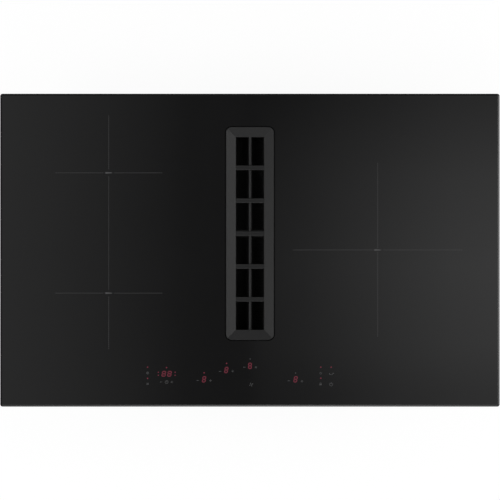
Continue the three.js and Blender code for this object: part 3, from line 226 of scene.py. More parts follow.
def galvanised_steel():
    made, tree, shader = material("galvanised_steel", {"Metallic": 0.85})
    place = put(tree, "TexCoord").outputs["Object"]
    crystals = put(tree, "TexVoronoi", {"Vector": place, "Scale": 85.0}).outputs["Color"]
    tone = put(tree, "SeparateColor", {0: crystals}).outputs[0]
    rolling = {"Scale": 260.0, "Stretch": (0.08, 1.0, 1.0), "Patch Scale": 9.0}
    fine, patches = effect(tree, grain, rolling)
    edge = effect(tree, worn_edges, {"Radius": 0.0005})
    dusty = effect(tree, dust, {"Amount": 0.35})["Mask"]
    zinc = ramp(tree, tone, (0.0, (0.40, 0.42, 0.44, 1)), (1.0, (0.52, 0.54, 0.56, 1)))
    dulled = mixed(tree, remap(tree, patches, 0.35, 0.7, 0.0, 0.5), zinc, (0.36, 0.37, 0.38, 1))
    bright = mixed(tree, edge["Mask"], dulled, (0.66, 0.67, 0.68, 1))
    spangled, rolled = remap(tree, tone, 0.0, 1.0, 0.34, 0.46), remap(tree, fine, 0.3, 0.7, 0.0, 0.1)
    rough = put(tree, "Math", {0: spangled, 1: rolled})
    wire(tree, shader, {
        "Base Color": mixed(tree, dusty, bright, (0.30, 0.29, 0.27, 1)),
        "Roughness": rough.outputs[0],
        "Normal": bumped(tree, fine, 0.00003, edge["Normal"]),
    })
    return made


pan_steel = galvanised_steel()
dress(pan_steel, "base_pan")


def ring(radius, z, corners=0, count=24):
    """Points round the Z axis, on a circle or on a polygon of that radius across its corners."""
    points = []
    for number in range(count):
        angle = 2 * math.pi * number / count
        reach = radius
        if corners:
            half = math.pi / corners
            reach *= math.cos(half) / math.cos(angle % (2 * half) - half)
        points.append(Vector((reach * math.cos(angle), reach * math.sin(angle), z)))
    return points


def skin(mesh, rings):
    """Joins rings of equally many points into a closed skin, with a flat face at each end."""
    rows = [[mesh.verts.new(point) for point in points] for points in rings]
    mesh.faces.new(rows[0])
    mesh.faces.new(rows[-1])
    for low, high in zip(rows, rows[1:]):
        for number in range(len(low)):
            mesh.faces.new((low[number - 1], low[number], high[number], high[number - 1]))


def piece(name, mesh, body, finish, sharp=35):
    """Makes a piece of the object from a bmesh, riding on a body and finish."""
    bmesh.ops.recalc_face_normals(mesh, faces=mesh.faces[:])
    for face in mesh.faces:
        face.smooth = True
    for edge in mesh.edges:
        edge.smooth = len(edge.link_faces) == 2 and edge.calc_face_angle(0.0) < math.radians(sharp)
    data = bpy.data.meshes.new(name)
    mesh.to_mesh(data)
    mesh.free()
    data.materials.append(finish)
    made = bpy.data.objects.new(name, data)
    bpy.context.scene.collection.objects.link(made)
    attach(made, body)
    return made


def flanged_screw(mesh, place, facing, size=1.0):
    """A sheet screw with a pressed flange, a hexagon head and a dimple in its face."""
    profile = [(4.2, 0.0, 0), (4.3, 0.3, 0), (3.9, 0.8, 0), (3.3, 0.9, 6), (3.3, 2.2, 6)]
    profile += [(2.7, 2.6, 0), (1.7, 2.6, 0), (1.3, 2.1, 0)]
    turn = Vector((0, 0, 1)).rotation_difference(Vector(facing))
    unit = 0.001 * size
    skin(mesh, [
        [turn @ point + Vector(place) for point in ring(radius * unit, z * unit, corners)]
        for radius, z, corners in profile
    ])


def zinc_plated():
    made, tree, shader = material("zinc_plated", {"Metallic": 0.95})
    fine, patches = effect(tree, grain, {"Scale": 1400.0, "Patch Scale": 60.0})
    edge = effect(tree, worn_edges, {"Radius": 0.0003})
    bluish, neutral, yellowish = (0.42, 0.44, 0.47, 1), (0.52, 0.53, 0.52, 1), (0.54, 0.51, 0.43, 1)
    plated = ramp(tree, patches, (0.3, bluish), (0.55, neutral), (0.75, yellowish))
    wire(tree, shader, {
        "Base Color": mixed(tree, edge["Mask"], plated, (0.68, 0.68, 0.69, 1)),
        "Roughness": remap(tree, fine, 0.3, 0.7, 0.26, 0.42),
        "Normal": bumped(tree, fine, 0.00002, edge["Normal"]),
    })
    return made


screw_zinc = zinc_plated()
pan_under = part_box("base_pan")[0].z
cooling_fan_x, cooling_fan_y, corner = 0.240, -0.192, 0.035  # middle, and from there to a screw
fan_screws = [
    (side * cooling_fan_x + dx, cooling_fan_y + dy)
    for side in (-1, 1) for dx in (-corner, corner) for dy in (-corner, corner)
]
board_screws = [(-0.357, 0.097), (-0.357, -0.057), (-0.123, 0.097)]
coil_plate_screws = [(-0.3318, -0.1522), (-0.1374, -0.1522), (-0.1374, 0.2078)]
coil_plate_screws += [(0.067, -0.1522), (0.3575, -0.1522), (0.067, 0.2078)]
carrier_screws = [(x, y) for x in (-0.177, 0.143) for y in (-0.226, -0.186)]
pan_screws = bmesh.new()
for x, y in fan_screws + board_screws + coil_plate_screws + carrier_screws:
    flanged_screw(pan_screws, (x, y, pan_under), (0, 0, -1))
piece("pan_screws", pan_screws, "root", screw_zinc)

# ================================================================ power boards and heat sinks
# Lacquered circuit boards stand on posts on the pan's floor, with their capacitors, chokes and
# rectifier soldered on. An extruded aluminium comb cools the transistors of each.


def circuit_board(name, face):
    """Green lacquer over copper tracks up to the board's face, and dark components above it."""
    made, tree, shader = material(name, {"Coat Weight": 0.3, "Coat Roughness": 0.2})
    place = put(tree, "TexCoord").outputs["Object"]
    height = put(tree, "SeparateXYZ", {0: place}).outputs["Z"]
    layout = {"Vector": place, "Scale": 60.0, "Mortar Size": 0.035}
    lines = put(tree, "TexBrick", layout, offset=0.37, squash=0.7).outputs["Fac"]
    fine, patches = effect(tree, grain, {"Scale": 700.0, "Patch Scale": 40.0})
    tracks = ramp(tree, lines, (0.0, (0.012, 0.075, 0.028, 1)), (1.0, (0.05, 0.17, 0.06, 1)))
    lacquer = mixed(tree, remap(tree, patches, 0.3, 0.7, 0.0, 0.6), tracks, (0.008, 0.05, 0.022, 1))
    sleeve = ramp(tree, patches, (0.35, (0.012, 0.013, 0.016, 1)), (0.6, (0.03, 0.032, 0.04, 1)))
    above = remap(tree, height, face, face + 0.0004, 0.0, 1.0)
    wire(tree, shader, {
        "Base Color": mixed(tree, above, lacquer, sleeve),
        "Roughness": remap(tree, fine, 0.3, 0.7, 0.32, 0.5),
        "Normal": bumped(tree, lines, 0.00004),
    })
    return made


board_face = 0.1596  # what stands above it is a component
board_lacquer = circuit_board("board_lacquer", board_face)
dress(board_lacquer, "power_board_left", "power_board_right", "mains_filter_board")


def mill_aluminium():
    made, tree, shader = material("mill_aluminium", {"Metallic": 1.0})
    milling = {"Scale": 1100.0, "Stretch": (1.0, 0.03, 1.0), "Patch Scale": 22.0}
    fine, patches = effect(tree, grain, milling)
    edge = effect(tree, worn_edges, {"Radius": 0.0004})
    metal = ramp(tree, patches, (0.3, (0.52, 0.53, 0.54, 1)), (0.7, (0.63, 0.64, 0.65, 1)))
    wire(tree, shader, {
        "Base Color": mixed(tree, edge["Mask"], metal, (0.75, 0.76, 0.77, 1)),
        "Roughness": remap(tree, fine, 0.3, 0.7, 0.28, 0.44),
        "Normal": bumped(tree, fine, 0.00003, edge["Normal"]),
    })
    return made


sheet_aluminium = mill_aluminium()
dress(sheet_aluminium, "heat_sink_left", "heat_sink_right")

# ================================================================ cooling fans
# Small square fans draw air up through the pan's floor. Frame and rotor are moulded in black
# glass-filled plastic, with the fine spark-eroded texture of their moulds.


def moulded(name, colour, grain_scale, depth, dusty=0.3, rough=(0.42, 0.6), gloss=0.5):
    """Moulded plastic: spark-eroded texture, paler rubbed edges and a little settled dust."""
    made, tree, shader = material(name, {"IOR": 1.5, "Specular IOR Level": gloss})
    fine, patches = effect(tree, grain, {"Scale": grain_scale, "Patch Scale": 12.0})
    edge = effect(tree, worn_edges, {"Radius": 0.0006})
    settled = effect(tree, dust, {"Amount": dusty})["Mask"]
    darker = tuple(0.82 * part for part in colour) + (1,)
    lighter = tuple(1.12 * part for part in colour) + (1,)
    rubbed = tuple(1.5 * part + 0.012 for part in colour) + (1,)
    flow = ramp(tree, patches, (0.3, darker), (0.7, lighter))
    clean = mixed(tree, edge["Mask"], flow, rubbed)
    wire(tree, shader, {
        "Base Color": mixed(tree, settled, clean, (0.22, 0.21, 0.20, 1)),
        "Roughness": remap(tree, fine, 0.3, 0.7, *rough),
        "Normal": bumped(tree, fine, depth, edge["Normal"]),
    })
    return made


black_plastic = moulded("black_plastic", (0.016, 0.016, 0.018), 1500.0, 0.00004)
for side in ("left", "right"):
    dress(black_plastic, "cooling_fan_frame_" + side, "cooling_fan_rotor_" + side)

# ================================================================ induction coils
# Each coil is enamelled litz wire wound flat on a moulded former with ferrite bars, on an
# aluminium plate on legs. A mica sheet lies between it and the glass, and a sprung sensor
# stands in its middle.


def litz_wire(name, centre):
    """Copper strands in turns round the coil's centre, twisted along their run, with painted
    shade in the grooves between turns and a painted highlight on their crowns.
    """
    made, tree, shader = material(name, {"Metallic": 0.7, "Coat Weight": 0.4, "Coat Roughness": 0.25})
    place = put(tree, "TexCoord").outputs["Object"]
    from_centre = {"Vector": place, "Location": (-centre[0], -centre[1], 0.0)}
    moved = put(tree, "Mapping", from_centre).outputs["Vector"]
    waves = {"Vector": moved, "Scale": 45.0, "Distortion": 0.6, "Detail": 1.0}
    turns = put(tree, "TexWave", waves, wave_type="RINGS", rings_direction="Z").outputs["Fac"]
    fine, patches = effect(tree, grain, {"Scale": 1300.0, "Patch Scale": 50.0})
    # Painted shade in the grooves between turns, and a painted highlight on their crowns.
    groove_painted_shade, flank, crown_painted_highlight = (0.10, 0.035, 0.016, 1), (0.40, 0.155, 0.07, 1), (0.52, 0.22, 0.10, 1)
    copper = ramp(tree, turns, (0.0, groove_painted_shade), (0.5, flank), (1.0, crown_painted_highlight))
    strands = put(tree, "Math", {0: turns, 1: remap(tree, fine, 0.3, 0.7, 0.0, 0.3)}).outputs[0]
    browned = remap(tree, patches, 0.4, 0.7, 0.0, 0.4)
    wire(tree, shader, {
        "Base Color": mixed(tree, browned, copper, (0.24, 0.08, 0.035, 1)),
        "Roughness": remap(tree, fine, 0.3, 0.7, 0.34, 0.55),
        "Normal": bumped(tree, strands, 0.0006),
    })
    return made


def pressed_mica():
    made, tree, shader = material("pressed_mica", {"Specular IOR Level": 0.6})
    place = put(tree, "TexCoord").outputs["Object"]
    flakes = put(tree, "TexVoronoi", {"Vector": place, "Scale": 420.0}).outputs["Color"]
    tone = put(tree, "SeparateColor", {0: flakes}).outputs[1]
    fine, patches = effect(tree, grain, {"Scale": 500.0, "Patch Scale": 20.0})
    paper = ramp(tree, tone, (0.0, (0.30, 0.26, 0.19, 1)), (1.0, (0.50, 0.45, 0.34, 1)))
    stained = remap(tree, patches, 0.35, 0.7, 0.0, 0.4)
    wire(tree, shader, {
        "Base Color": mixed(tree, stained, paper, (0.34, 0.29, 0.20, 1)),
        "Roughness": remap(tree, tone, 0.0, 1.0, 0.35, 0.75),
        "Normal": bumped(tree, fine, 0.00005),
    })
    return made


def brushed_stainless():
    made, tree, shader = material("brushed_stainless", {"Metallic": 1.0, "Anisotropic": 0.4})
    brushing = {"Scale": 1600.0, "Stretch": (1.0, 0.02, 1.0), "Patch Scale": 30.0}
    fine, patches = effect(tree, grain, brushing)
    edge = effect(tree, worn_edges, {"Radius": 0.0004})
    metal = ramp(tree, fine, (0.25, (0.46, 0.46, 0.46, 1)), (0.75, (0.58, 0.58, 0.575, 1)))
    wire(tree, shader, {
        "Base Color": mixed(tree, edge["Mask"], metal, (0.72, 0.72, 0.72, 1)),
        "Roughness": remap(tree, patches, 0.3, 0.7, 0.22, 0.36),
        "Normal": bumped(tree, fine, 0.00002, edge["Normal"]),
    })
    return made


mica_paper, stainless = pressed_mica(), brushed_stainless()
for coil in ("front_left", "rear_left", "right"):
    low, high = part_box("coil_winding_" + coil)
    dress(litz_wire("litz_wire_" + coil, (low + high) / 2), "coil_winding_" + coil)
    dress(mica_paper, "mica_sheet_" + coil)
    dress(black_plastic, "coil_former_" + coil)
    dress(stainless, "coil_sensor_" + coil)
dress(sheet_aluminium, "coil_plate_left", "coil_plate_right")

# ================================================================ touch board
# The touch board lies in a moulded trough behind the front edge, pressed up to the glass.
# Its displays shine through the glass as the lit digits that are made with the glass.

display_height = 0.002  # of the displays above the board
touch_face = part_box("touch_board")[1].z - display_height
dress(circuit_board("touch_board_lacquer", touch_face), "touch_board")
dress(black_plastic, "touch_board_carrier")

# ================================================================ well
# A black moulding steps down through the glass to the blower. Its flange is bonded under the
# glass on a bed of matt silicone.

# Darker than the other black plastic and with a much weaker sheen: painted shade for the narrow gap
# round the grille.
well_black_painted_shade, well_rough = (0.006, 0.006, 0.007), (0.55, 0.7)
well_plastic_painted_shade = moulded("well_plastic_painted_shade", well_black_painted_shade, 1500.0, 0.00004, 0.03, well_rough, gloss=0.1)
dress(well_plastic_painted_shade, "well_liner")


def soft_rubber(name, colour, cell_scale, depth):
    """Silicone or foam: dull, with tiny cells or a moulded skin, and lint in places."""
    made, tree, shader = material(name, {"Specular IOR Level": 0.3})
    place = put(tree, "TexCoord").outputs["Object"]
    cells = put(tree, "TexVoronoi", {"Vector": place, "Scale": cell_scale}).outputs["Distance"]
    fine, patches = effect(tree, grain, {"Scale": 800.0, "Patch Scale": 30.0})
    lint = tuple(2.2 * part + 0.01 for part in colour) + (1,)
    wire(tree, shader, {
        "Base Color": mixed(tree, remap(tree, patches, 0.5, 0.8, 0.0, 0.6), colour + (1,), lint),
        "Roughness": remap(tree, fine, 0.3, 0.7, 0.7, 0.92),
        "Normal": bumped(tree, cells, depth),
    })
    return made


silicone = soft_rubber("silicone_bead", (0.028, 0.029, 0.031), 300.0, 0.00008)
dress(silicone, "well_seal")

# ================================================================ glass
# A 4 mm plate of black glass ceramic, polished on top and ground to a bevel all round, is cut
# out for the grille and bonded to the well's flange. Grey enamel dots mark the zones on it.


def black_glass():
    """Near-black polished glass with faint wipe marks; its bevel and cut edges are ground matt."""
    made, tree, shader = material("black_glass", {"IOR": 1.5})
    facing = put(tree, "SeparateXYZ", {0: put(tree, "NewGeometry").outputs["Normal"]}).outputs["Z"]
    polished = remap(tree, facing, 0.9, 0.99, 0.0, 1.0)
    wiping = {"Scale": 1800.0, "Stretch": (1.0, 0.3, 1.0), "Patch Scale": 7.0}
    fine, patches = effect(tree, grain, wiping)
    body = ramp(tree, patches, (0.3, (0.0018, 0.0018, 0.0020, 1)), (0.7, (0.0026, 0.0026, 0.0028, 1)))
    ground = ramp(tree, fine, (0.3, grey(0.0025)), (0.7, grey(0.0045)))
    wiped = ramp(tree, patches, (0.35, 0.035), (0.7, 0.075))
    matt = ramp(tree, fine, (0.3, 0.26), (0.7, 0.36))
    wire(tree, shader, {
        "Base Color": mixed(tree, polished, ground, body),
        "Roughness": mixed(tree, polished, matt, wiped),
        "Normal": bumped(tree, fine, 0.0000006),
    })
    return made


dress(black_glass(), "glass_top", sharp=20)
glass_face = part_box("glass_top")[1].z
print_height = 0.00002  # of the enamel above the glass


def prism(mesh, outline, height=print_height):
    """A flat closed plate on the glass, over an outline of (x, y) points."""
    levels = (glass_face, glass_face + height)
    skin(mesh, [[Vector((x, y, z)) for x, y in outline] for z in levels])


def disc(mesh, x, y, radius, count=8):
    prism(mesh, [(x + point.x, y + point.y) for point in ring(radius, 0.0, count=count)])


def band(mesh, points, width, closed=False):
    """A printed line of even width along points, as one closed plate."""
    count = len(points)
    left, right = [], []
    for number, (x, y) in enumerate(points):
        before = points[number - 1] if closed or number else points[0]
        after = points[(number + 1) % count] if closed or number < count - 1 else points[-1]
        into = Vector((x - before[0], y - before[1]))
        out = Vector((after[0] - x, after[1] - y))
        into, out = (into or out).normalized(), (out or into).normalized()
        along = (into + out).normalized()
        reach = width / 2 / max(0.4, along.dot(into))
        left.append((x - along.y * reach, y + along.x * reach))
        right.append((x + along.y * reach, y - along.x * reach))
    levels = (glass_face, glass_face + print_height)
    rows = [[mesh.verts.new((x, y, z)) for x, y in side] for side in (left, right) for z in levels]
    low_left, high_left, low_right, high_right = rows
    for a in range(count if closed else count - 1):
        b = (a + 1) % count
        mesh.faces.new((high_left[a], high_right[a], high_right[b], high_left[b]))
        mesh.faces.new((low_left[a], low_left[b], low_right[b], low_right[a]))
        mesh.faces.new((low_left[a], high_left[a], high_left[b], low_left[b]))
        mesh.faces.new((low_right[a], low_right[b], high_right[b], high_right[a]))
    if not closed:
        for end in (0, -1):
            mesh.faces.new((low_left[end], low_right[end], high_right[end], high_left[end]))


def dotted_line(mesh, start, end):
    """Printed dots, spread evenly from start to end."""
    pitch, radius = 0.0033, 0.00069
    run = Vector(end) - Vector(start)
    steps = round(run.length / pitch)
    for number in range(steps + 1):
        place = Vector(start) + run * (number / steps)
        disc(mesh, place.x, place.y, radius)


def enamel(name, colour):
    """Fired enamel print: dull ceramic colour with tiny pinholes."""
    made, tree, shader = material(name, {"IOR": 1.5})
    fine, patches = effect(tree, grain, {"Scale": 2600.0, "Patch Scale": 40.0})
    thin = tuple(0.8 * part for part in colour) + (1,)
    wire(tree, shader, {
        "Base Color": ramp(tree, fine, (0.35, thin), (0.6, colour + (1,))),
        "Roughness": remap(tree, patches, 0.3, 0.7, 0.4, 0.55),
    })
    return made


zone_enamel = enamel("zone_enamel", (0.066, 0.066, 0.068))
left_x, rear_y, front_y = -0.2346, 0.1286, -0.0713  # middles of the linked zones
left_end, right_end, front_end, rear_end = -0.322, -0.1472, -0.1632, 0.2228  # of their lines
right_x, right_y = 0.2123, 0.0004  # middle of the large zone
reach_x, reach_y = 0.1395, 0.143  # of its lines from there
gap_x, linked_gap_y, large_gap_y = 0.0105, 0.007, 0.0045  # left free round a middle
dash_reach, dash_width = 0.0056, 0.0012  # of the dash in each middle
upright_ends = (
    (front_end, front_y - linked_gap_y), (front_y + linked_gap_y, rear_y - linked_gap_y),
    (rear_y + linked_gap_y, rear_end),
)
zone_marks = bmesh.new()
for low_y, high_y in upright_ends:
    dotted_line(zone_marks, (left_x, low_y), (left_x, high_y))
for y in (rear_y, front_y):
    dotted_line(zone_marks, (left_end, y), (left_x - gap_x, y))
    dotted_line(zone_marks, (left_x + gap_x, y), (right_end, y))
for side in (-1, 1):
    near, far = right_x + side * gap_x, right_x + side * reach_x
    dotted_line(zone_marks, (near, right_y), (far, right_y))
    near, far = right_y + side * large_gap_y, right_y + side * reach_y
    dotted_line(zone_marks, (right_x, near), (right_x, far))
for x, y in ((left_x, rear_y), (left_x, front_y), (right_x, right_y)):
    band(zone_marks, [(x - dash_reach, y), (x + dash_reach, y)], dash_width)
piece("zone_marks", zone_marks, "root", zone_enamel)

# ================================================================ keys and displays
# Key symbols are the same fired enamel, printed finer. Digits and points are red light from
# the displays below, which the dark glass dims.

key_enamel = enamel("key_enamel", (0.054, 0.054, 0.056))


def arc(x, y, radius, start, end, count=16):
    """Points on an arc, from one angle in degrees to another."""
    return [
        (x + radius * math.cos(math.radians(start + (end - start) * step / count)),
         y + radius * math.sin(math.radians(start + (end - start) * step / count)))
        for step in range(count + 1)
    ]


stroke, sign_stroke, sign_reach = 0.0007, 0.0005, 0.0020  # line widths, and half a sign's
dot_radius, dot_sides = 0.0009, 12
keys = bmesh.new()


def minus(x, y):
    band(keys, [(x - sign_reach, y), (x + sign_reach, y)], sign_stroke)


def plus(x, y):
    """The upright is two halves, so that the printed bars do not lie in each other."""
    minus(x, y)
    for side in (-1, 1):
        band(keys, [(x, y + side * sign_stroke / 2), (x, y + side * sign_reach)], sign_stroke)


def steps_from(x, y, *steps):
    """Points at steps across and up from a symbol's middle."""
    return [(x + across, y + up) for across, up in steps]


minus_places = [(-0.0864, -0.2165), (-0.0495, -0.2014), (-0.0089, -0.1944)]
minus_places += [(0.0649, -0.2170), (-0.1473, -0.2190)]
plus_places = [(-0.0654, -0.2167), (-0.0285, -0.2010), (0.0101, -0.1944)]
plus_places += [(0.0866, -0.2177), (-0.1296, -0.2190)]
for place in minus_places:
    minus(*place)
for place in plus_places:
    plus(*place)
for x, y in ((0.0004, -0.1807), (0.0759, -0.2040)):
    disc(keys, x, y, dot_radius, dot_sides)

# Each symbol is drawn by its steps from the middle, which is given first.
clock = (-0.1383, -0.2190)
band(keys, arc(*clock, 0.0026, 0, 360)[:-1], stroke * 0.9, closed=True)
band(keys, steps_from(*clock, (0, 0.0016), (0, 0), (0.0011, -0.0006)), stroke * 0.8)
fan = (0.0021, -0.2233)
disc(keys, *fan, 0.0008, dot_sides)
for turn in (0, 90, 180, 270):
    root = arc(*fan, 0.0011, turn + 6, turn + 26, 2)
    tip = arc(*fan, 0.0032, turn + 42, turn + 10, 4)
    prism(keys, root + tip)
keep_warm = (-0.1700, -0.2040)
band(keys, arc(*keep_warm, 0.0018, 0, 360, dot_sides)[:-1], stroke, closed=True)
disc(keys, *keep_warm, 0.0008, dot_sides)
pause = (-0.1700, -0.2218)
for side in (-1, 1):
    band(keys, steps_from(*pause, (side * 0.0009, -0.0017), (side * 0.0009, 0.0017)), stroke)
lock, shackle = (0.1173, -0.2229), (0.1173, -0.2210)
body = [(-0.0018, -0.0015), (0.0018, -0.0015), (0.0018, 0.0010), (-0.0018, 0.0010)]
feet = steps_from(*shackle, (0.0012, -0.0008), (-0.0012, -0.0008))
prism(keys, steps_from(*lock, *body))
band(keys, [feet[0], *arc(*shackle, 0.0012, 0, 180, 8), feet[1]], sign_stroke)
lock_ring = (0.1175, -0.2045)
band(keys, arc(*lock_ring, 0.0015, 0, 360, dot_sides)[:-1], stroke, closed=True)
pan = (0.1350, -0.2054)
bowl = [(-0.0030, 0.0010), (-0.0026, -0.0012), (0.0020, -0.0012), (0.0024, 0.0010)]
band(keys, steps_from(*pan, *bowl), stroke)
band(keys, steps_from(*pan, (0.0029, 0.0006), (0.0049, 0.0011)), stroke)
power = (0.1350, -0.2228)
band(keys, arc(*power, 0.0027, 125, 415), stroke)
band(keys, steps_from(*power, (0, 0.0006), (0, 0.0035)), stroke)
piece("key_symbols", keys, "root", key_enamel)


def red_light(name, strength, dim, bright):
    """Red light seen through dark glass, a little uneven over each segment."""
    inputs = {"Base Color": (0.006, 0.001, 0.002, 1), "Roughness": 0.2, "Emission Strength": strength}
    made, tree, shader = material(name, inputs)
    fine, patches = effect(tree, grain, {"Scale": 900.0, "Patch Scale": 200.0})
    wire(tree, shader, {
        "Emission Color": ramp(tree, patches, (0.3, dim), (0.7, bright)),
        "Roughness": remap(tree, fine, 0.3, 0.7, 0.15, 0.25),
    })
    return made


def digit(mesh, x, y, width, height, slant):
    """An eight of seven segments with pointed ends, a little apart, leaning to the right."""
    thick, gap = 0.0014, 0.00025
    half_w, half_h = width / 2 - thick / 2, height / 2 - thick / 2
    level = [((-half_w, z), (half_w, z)) for z in (half_h, 0.0, -half_h)]
    upper = [((side * half_w, 0.0), (side * half_w, half_h)) for side in (-1, 1)]
    lower = [((side * half_w, -half_h), (side * half_w, 0.0)) for side in (-1, 1)]
    for start, end in level + upper + lower:
        a, b = Vector(start), Vector(end)
        along = (b - a).normalized()
        across, tip = Vector((-along.y, along.x)) * thick / 2, along * thick / 2
        a, b = a + along * gap, b - along * gap
        outline = [a, a + tip - across, b - tip - across, b, b - tip + across, a + tip + across]
        prism(mesh, [(x + point.x + slant * point.y, y + point.y) for point in outline])


def haze(mesh, x, y, width, height, slant):
    """The light that spreads in the glass between a digit's segments, half as high as they."""
    corners = [(-1, -1), (1, -1), (1, 1), (-1, 1)]
    outline = [(x + (a * width + b * slant * height) / 2, y + b * height / 2) for a, b in corners]
    prism(mesh, outline, print_height / 2)


zone_shape, upright_shape = (0.0062, 0.0104, 0.16), (0.0062, 0.0104, 0.03)
timer_shape = (0.0069, 0.0095, 0.16)
digits = [(-0.0762, -0.2145, zone_shape), (-0.0392, -0.1990, zone_shape)]
digits += [(0.0758, -0.2145, zone_shape), (0.0001, -0.1921, upright_shape)]
digits += [(-0.1431, -0.2053, timer_shape), (-0.1336, -0.2053, timer_shape)]
lit, spread = bmesh.new(), bmesh.new()
for x, y, shape in digits:
    digit(lit, x, y, *shape)
    haze(spread, x, y, *shape)
points = [(-0.1386, -0.1951), (-0.1700, -0.1944), (-0.1700, -0.2130), (-0.0761, -0.2037)]
points += [(-0.0388, -0.1881), (0.1178, -0.1944), (0.1178, -0.2127), (0.1350, -0.1944)]
timer_points = [(x, y) for x in (-0.1522, -0.1243) for y in (-0.2028, -0.2078)]
for places, radius in ((points, 0.0012), (timer_points, 0.0010)):
    for x, y in places:
        disc(lit, x, y, radius, dot_sides)
segment_light = red_light("segment_light", 0.138, (0.88, 0.10, 0.20, 1), (1.0, 0.13, 0.25, 1))
spread_light = red_light("spread_light", 0.014, (0.9, 0.01, 0.05, 1), (1.0, 0.02, 0.06, 1))
piece("lit_digits", lit, "root", segment_light)
piece("digit_haze", spread, "root", spread_light)

# ================================================================ rim seal
# Closed-cell foam tape is stuck under the edge of the glass all round. It seals the glass to
# the worktop that it rests on.

dress(soft_rubber("foam_tape", (0.012, 0.012, 0.013), 700.0, 0.0002), "rim_seal")

# ================================================================ filter unit
# A frame of pressed sheet, coated matt black, with a strap for a handle and a gutter below,
# holds two grease filters. Each is a black pressed frame over layers of expanded mesh. Their
# near-black finishes are also painted shade for the deep openings under the grille.


def matt_coating_and_painted_shade():
    """Matt black powder coating, a little orange-peeled and rubbed at the edges. Its near-black
    tone is also painted shade for the deep openings under the grille.
    """
    made, tree, shader = material("matt_coating_and_painted_shade", {"Specular IOR Level": 0.25})
    fine, patches = effect(tree, grain, {"Scale": 1100.0, "Patch Scale": 20.0})
    edge = effect(tree, worn_edges, {"Radius": 0.0005})
    # Near-black coat, partly painted shade for the deep openings under the grille.
    coat = ramp(tree, patches, (0.3, grey(0.0045)), (0.7, grey(0.0065)))
    wire(tree, shader, {
        "Base Color": mixed(tree, edge["Mask"], coat, grey(0.010)),
        "Roughness": remap(tree, fine, 0.3, 0.7, 0.5, 0.66),
        "Normal": bumped(tree, fine, 0.00006, edge["Normal"]),
    })
    return made


dress(matt_coating_and_painted_shade(), "filter_frame")


def filter_aluminium_and_painted_shade():
    """Black anodised aluminium, with a dull sheen and a trace of metal on its edges. Its black is
    also painted shade for the deep openings under the grille.
    """
    made, tree, shader = material("filter_aluminium_and_painted_shade", {"Specular IOR Level": 0.3})
    fine, patches = effect(tree, grain, {"Scale": 600.0, "Patch Scale": 25.0})
    edge = effect(tree, worn_edges, {"Radius": 0.0005})
    # Near-black metal, partly painted shade for the deep openings under the grille.
    metal = ramp(tree, patches, (0.3, grey(0.0045)), (0.7, grey(0.0070)))
    wire(tree, shader, {
        "Base Color": mixed(tree, edge["Mask"], metal, grey(0.014)),
        "Roughness": remap(tree, fine, 0.3, 0.7, 0.42, 0.56),
        "Normal": bumped(tree, fine, 0.00005, edge["Normal"]),
    })
    return made


filter_metal_and_painted_shade = filter_aluminium_and_painted_shade()
dress(filter_metal_and_painted_shade, "grease_filter_left", "grease_filter_right")


strand_width = 0.0005


def strand(mesh, points, across, lift):
    """One strand of mesh along points: a square wire with a closed skin."""
    half = strand_width / 2
    corners = [(-half, -half), (half, -half), (half, half), (-half, half)]
    skin(mesh, [[point + across * a + lift * b for a, b in corners] for point in points])


def mesh_layer(mesh, centre, up, out, run, rise):
    """Zigzag strands whose points touch, as in expanded sheet: along Y, and up the filter."""
    cell, row, spare, twist = 0.010, 0.0041, 0.0006, 0.0004
    steps = int(run / cell) * 2
    for level in range(int(rise / row)):
        base = (level + 0.5) * row - rise / 2
        points = []
        for step in range(steps + 1):
            zig = (step + level) % 2 - 0.5
            along = (step / steps - 0.5) * run
            offset = Vector((0, along, 0)) + out * (zig * twist)
            points.append(centre + up * (base + zig * (row - spare)) + offset)
        strand(mesh, points, up, out)


lean = math.radians(10.6)  # of each filter from the upright
mesh_run, mesh_rise = 0.3178, 0.0812
layer_offset = 0.0033  # from the middle of the filter's thickness
for side, sign in (("left", -1), ("right", 1)):
    low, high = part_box("grease_filter_" + side)
    centre = (low + high) / 2
    up = Vector((sign * math.sin(lean), 0, math.cos(lean)))
    out = Vector((math.cos(lean), 0, -sign * math.sin(lean)))
    layers = bmesh.new()
    for face in (-1, 1):
        mesh_layer(layers, centre + out * (face * layer_offset), up, out, mesh_run, mesh_rise)
    piece("filter_mesh_" + side, layers, "filter_unit", filter_metal_and_painted_shade)

# ================================================================ grille
# One aluminium casting in satin anthracite enamel: four sloping faces mitred at the corners,
# six openings between rounded ribs, and a lower spine. It lies loose on the well's ledge.


def satin_enamel():
    """Satin anthracite enamel with a fine cast grain, thinner and paler on its edges."""
    made, tree, shader = material("satin_enamel", {"Specular IOR Level": 0.35})
    fine, patches = effect(tree, grain, {"Scale": 1700.0, "Patch Scale": 18.0})
    edge = effect(tree, worn_edges, {"Radius": 0.0008})
    coat = ramp(tree, patches, (0.3, (0.0036, 0.0036, 0.0038, 1)), (0.7, (0.0048, 0.0048, 0.0050, 1)))
    wire(tree, shader, {
        "Base Color": mixed(tree, edge["Mask"], coat, (0.0145, 0.0145, 0.015, 1)),
        "Roughness": remap(tree, fine, 0.3, 0.7, 0.36, 0.46),
        "Normal": bumped(tree, fine, 0.00002, edge["Normal"]),
    })
    return made


dress(satin_enamel(), "inlet_grille", sharp=20)

# ================================================================ extractor housing
# Tub, deck, scroll wall, lid, spigot and tray are dark grey moulded plastic. Flanged screws
# join the deck to the tub at its ears. The bellmouth is moulded in black.

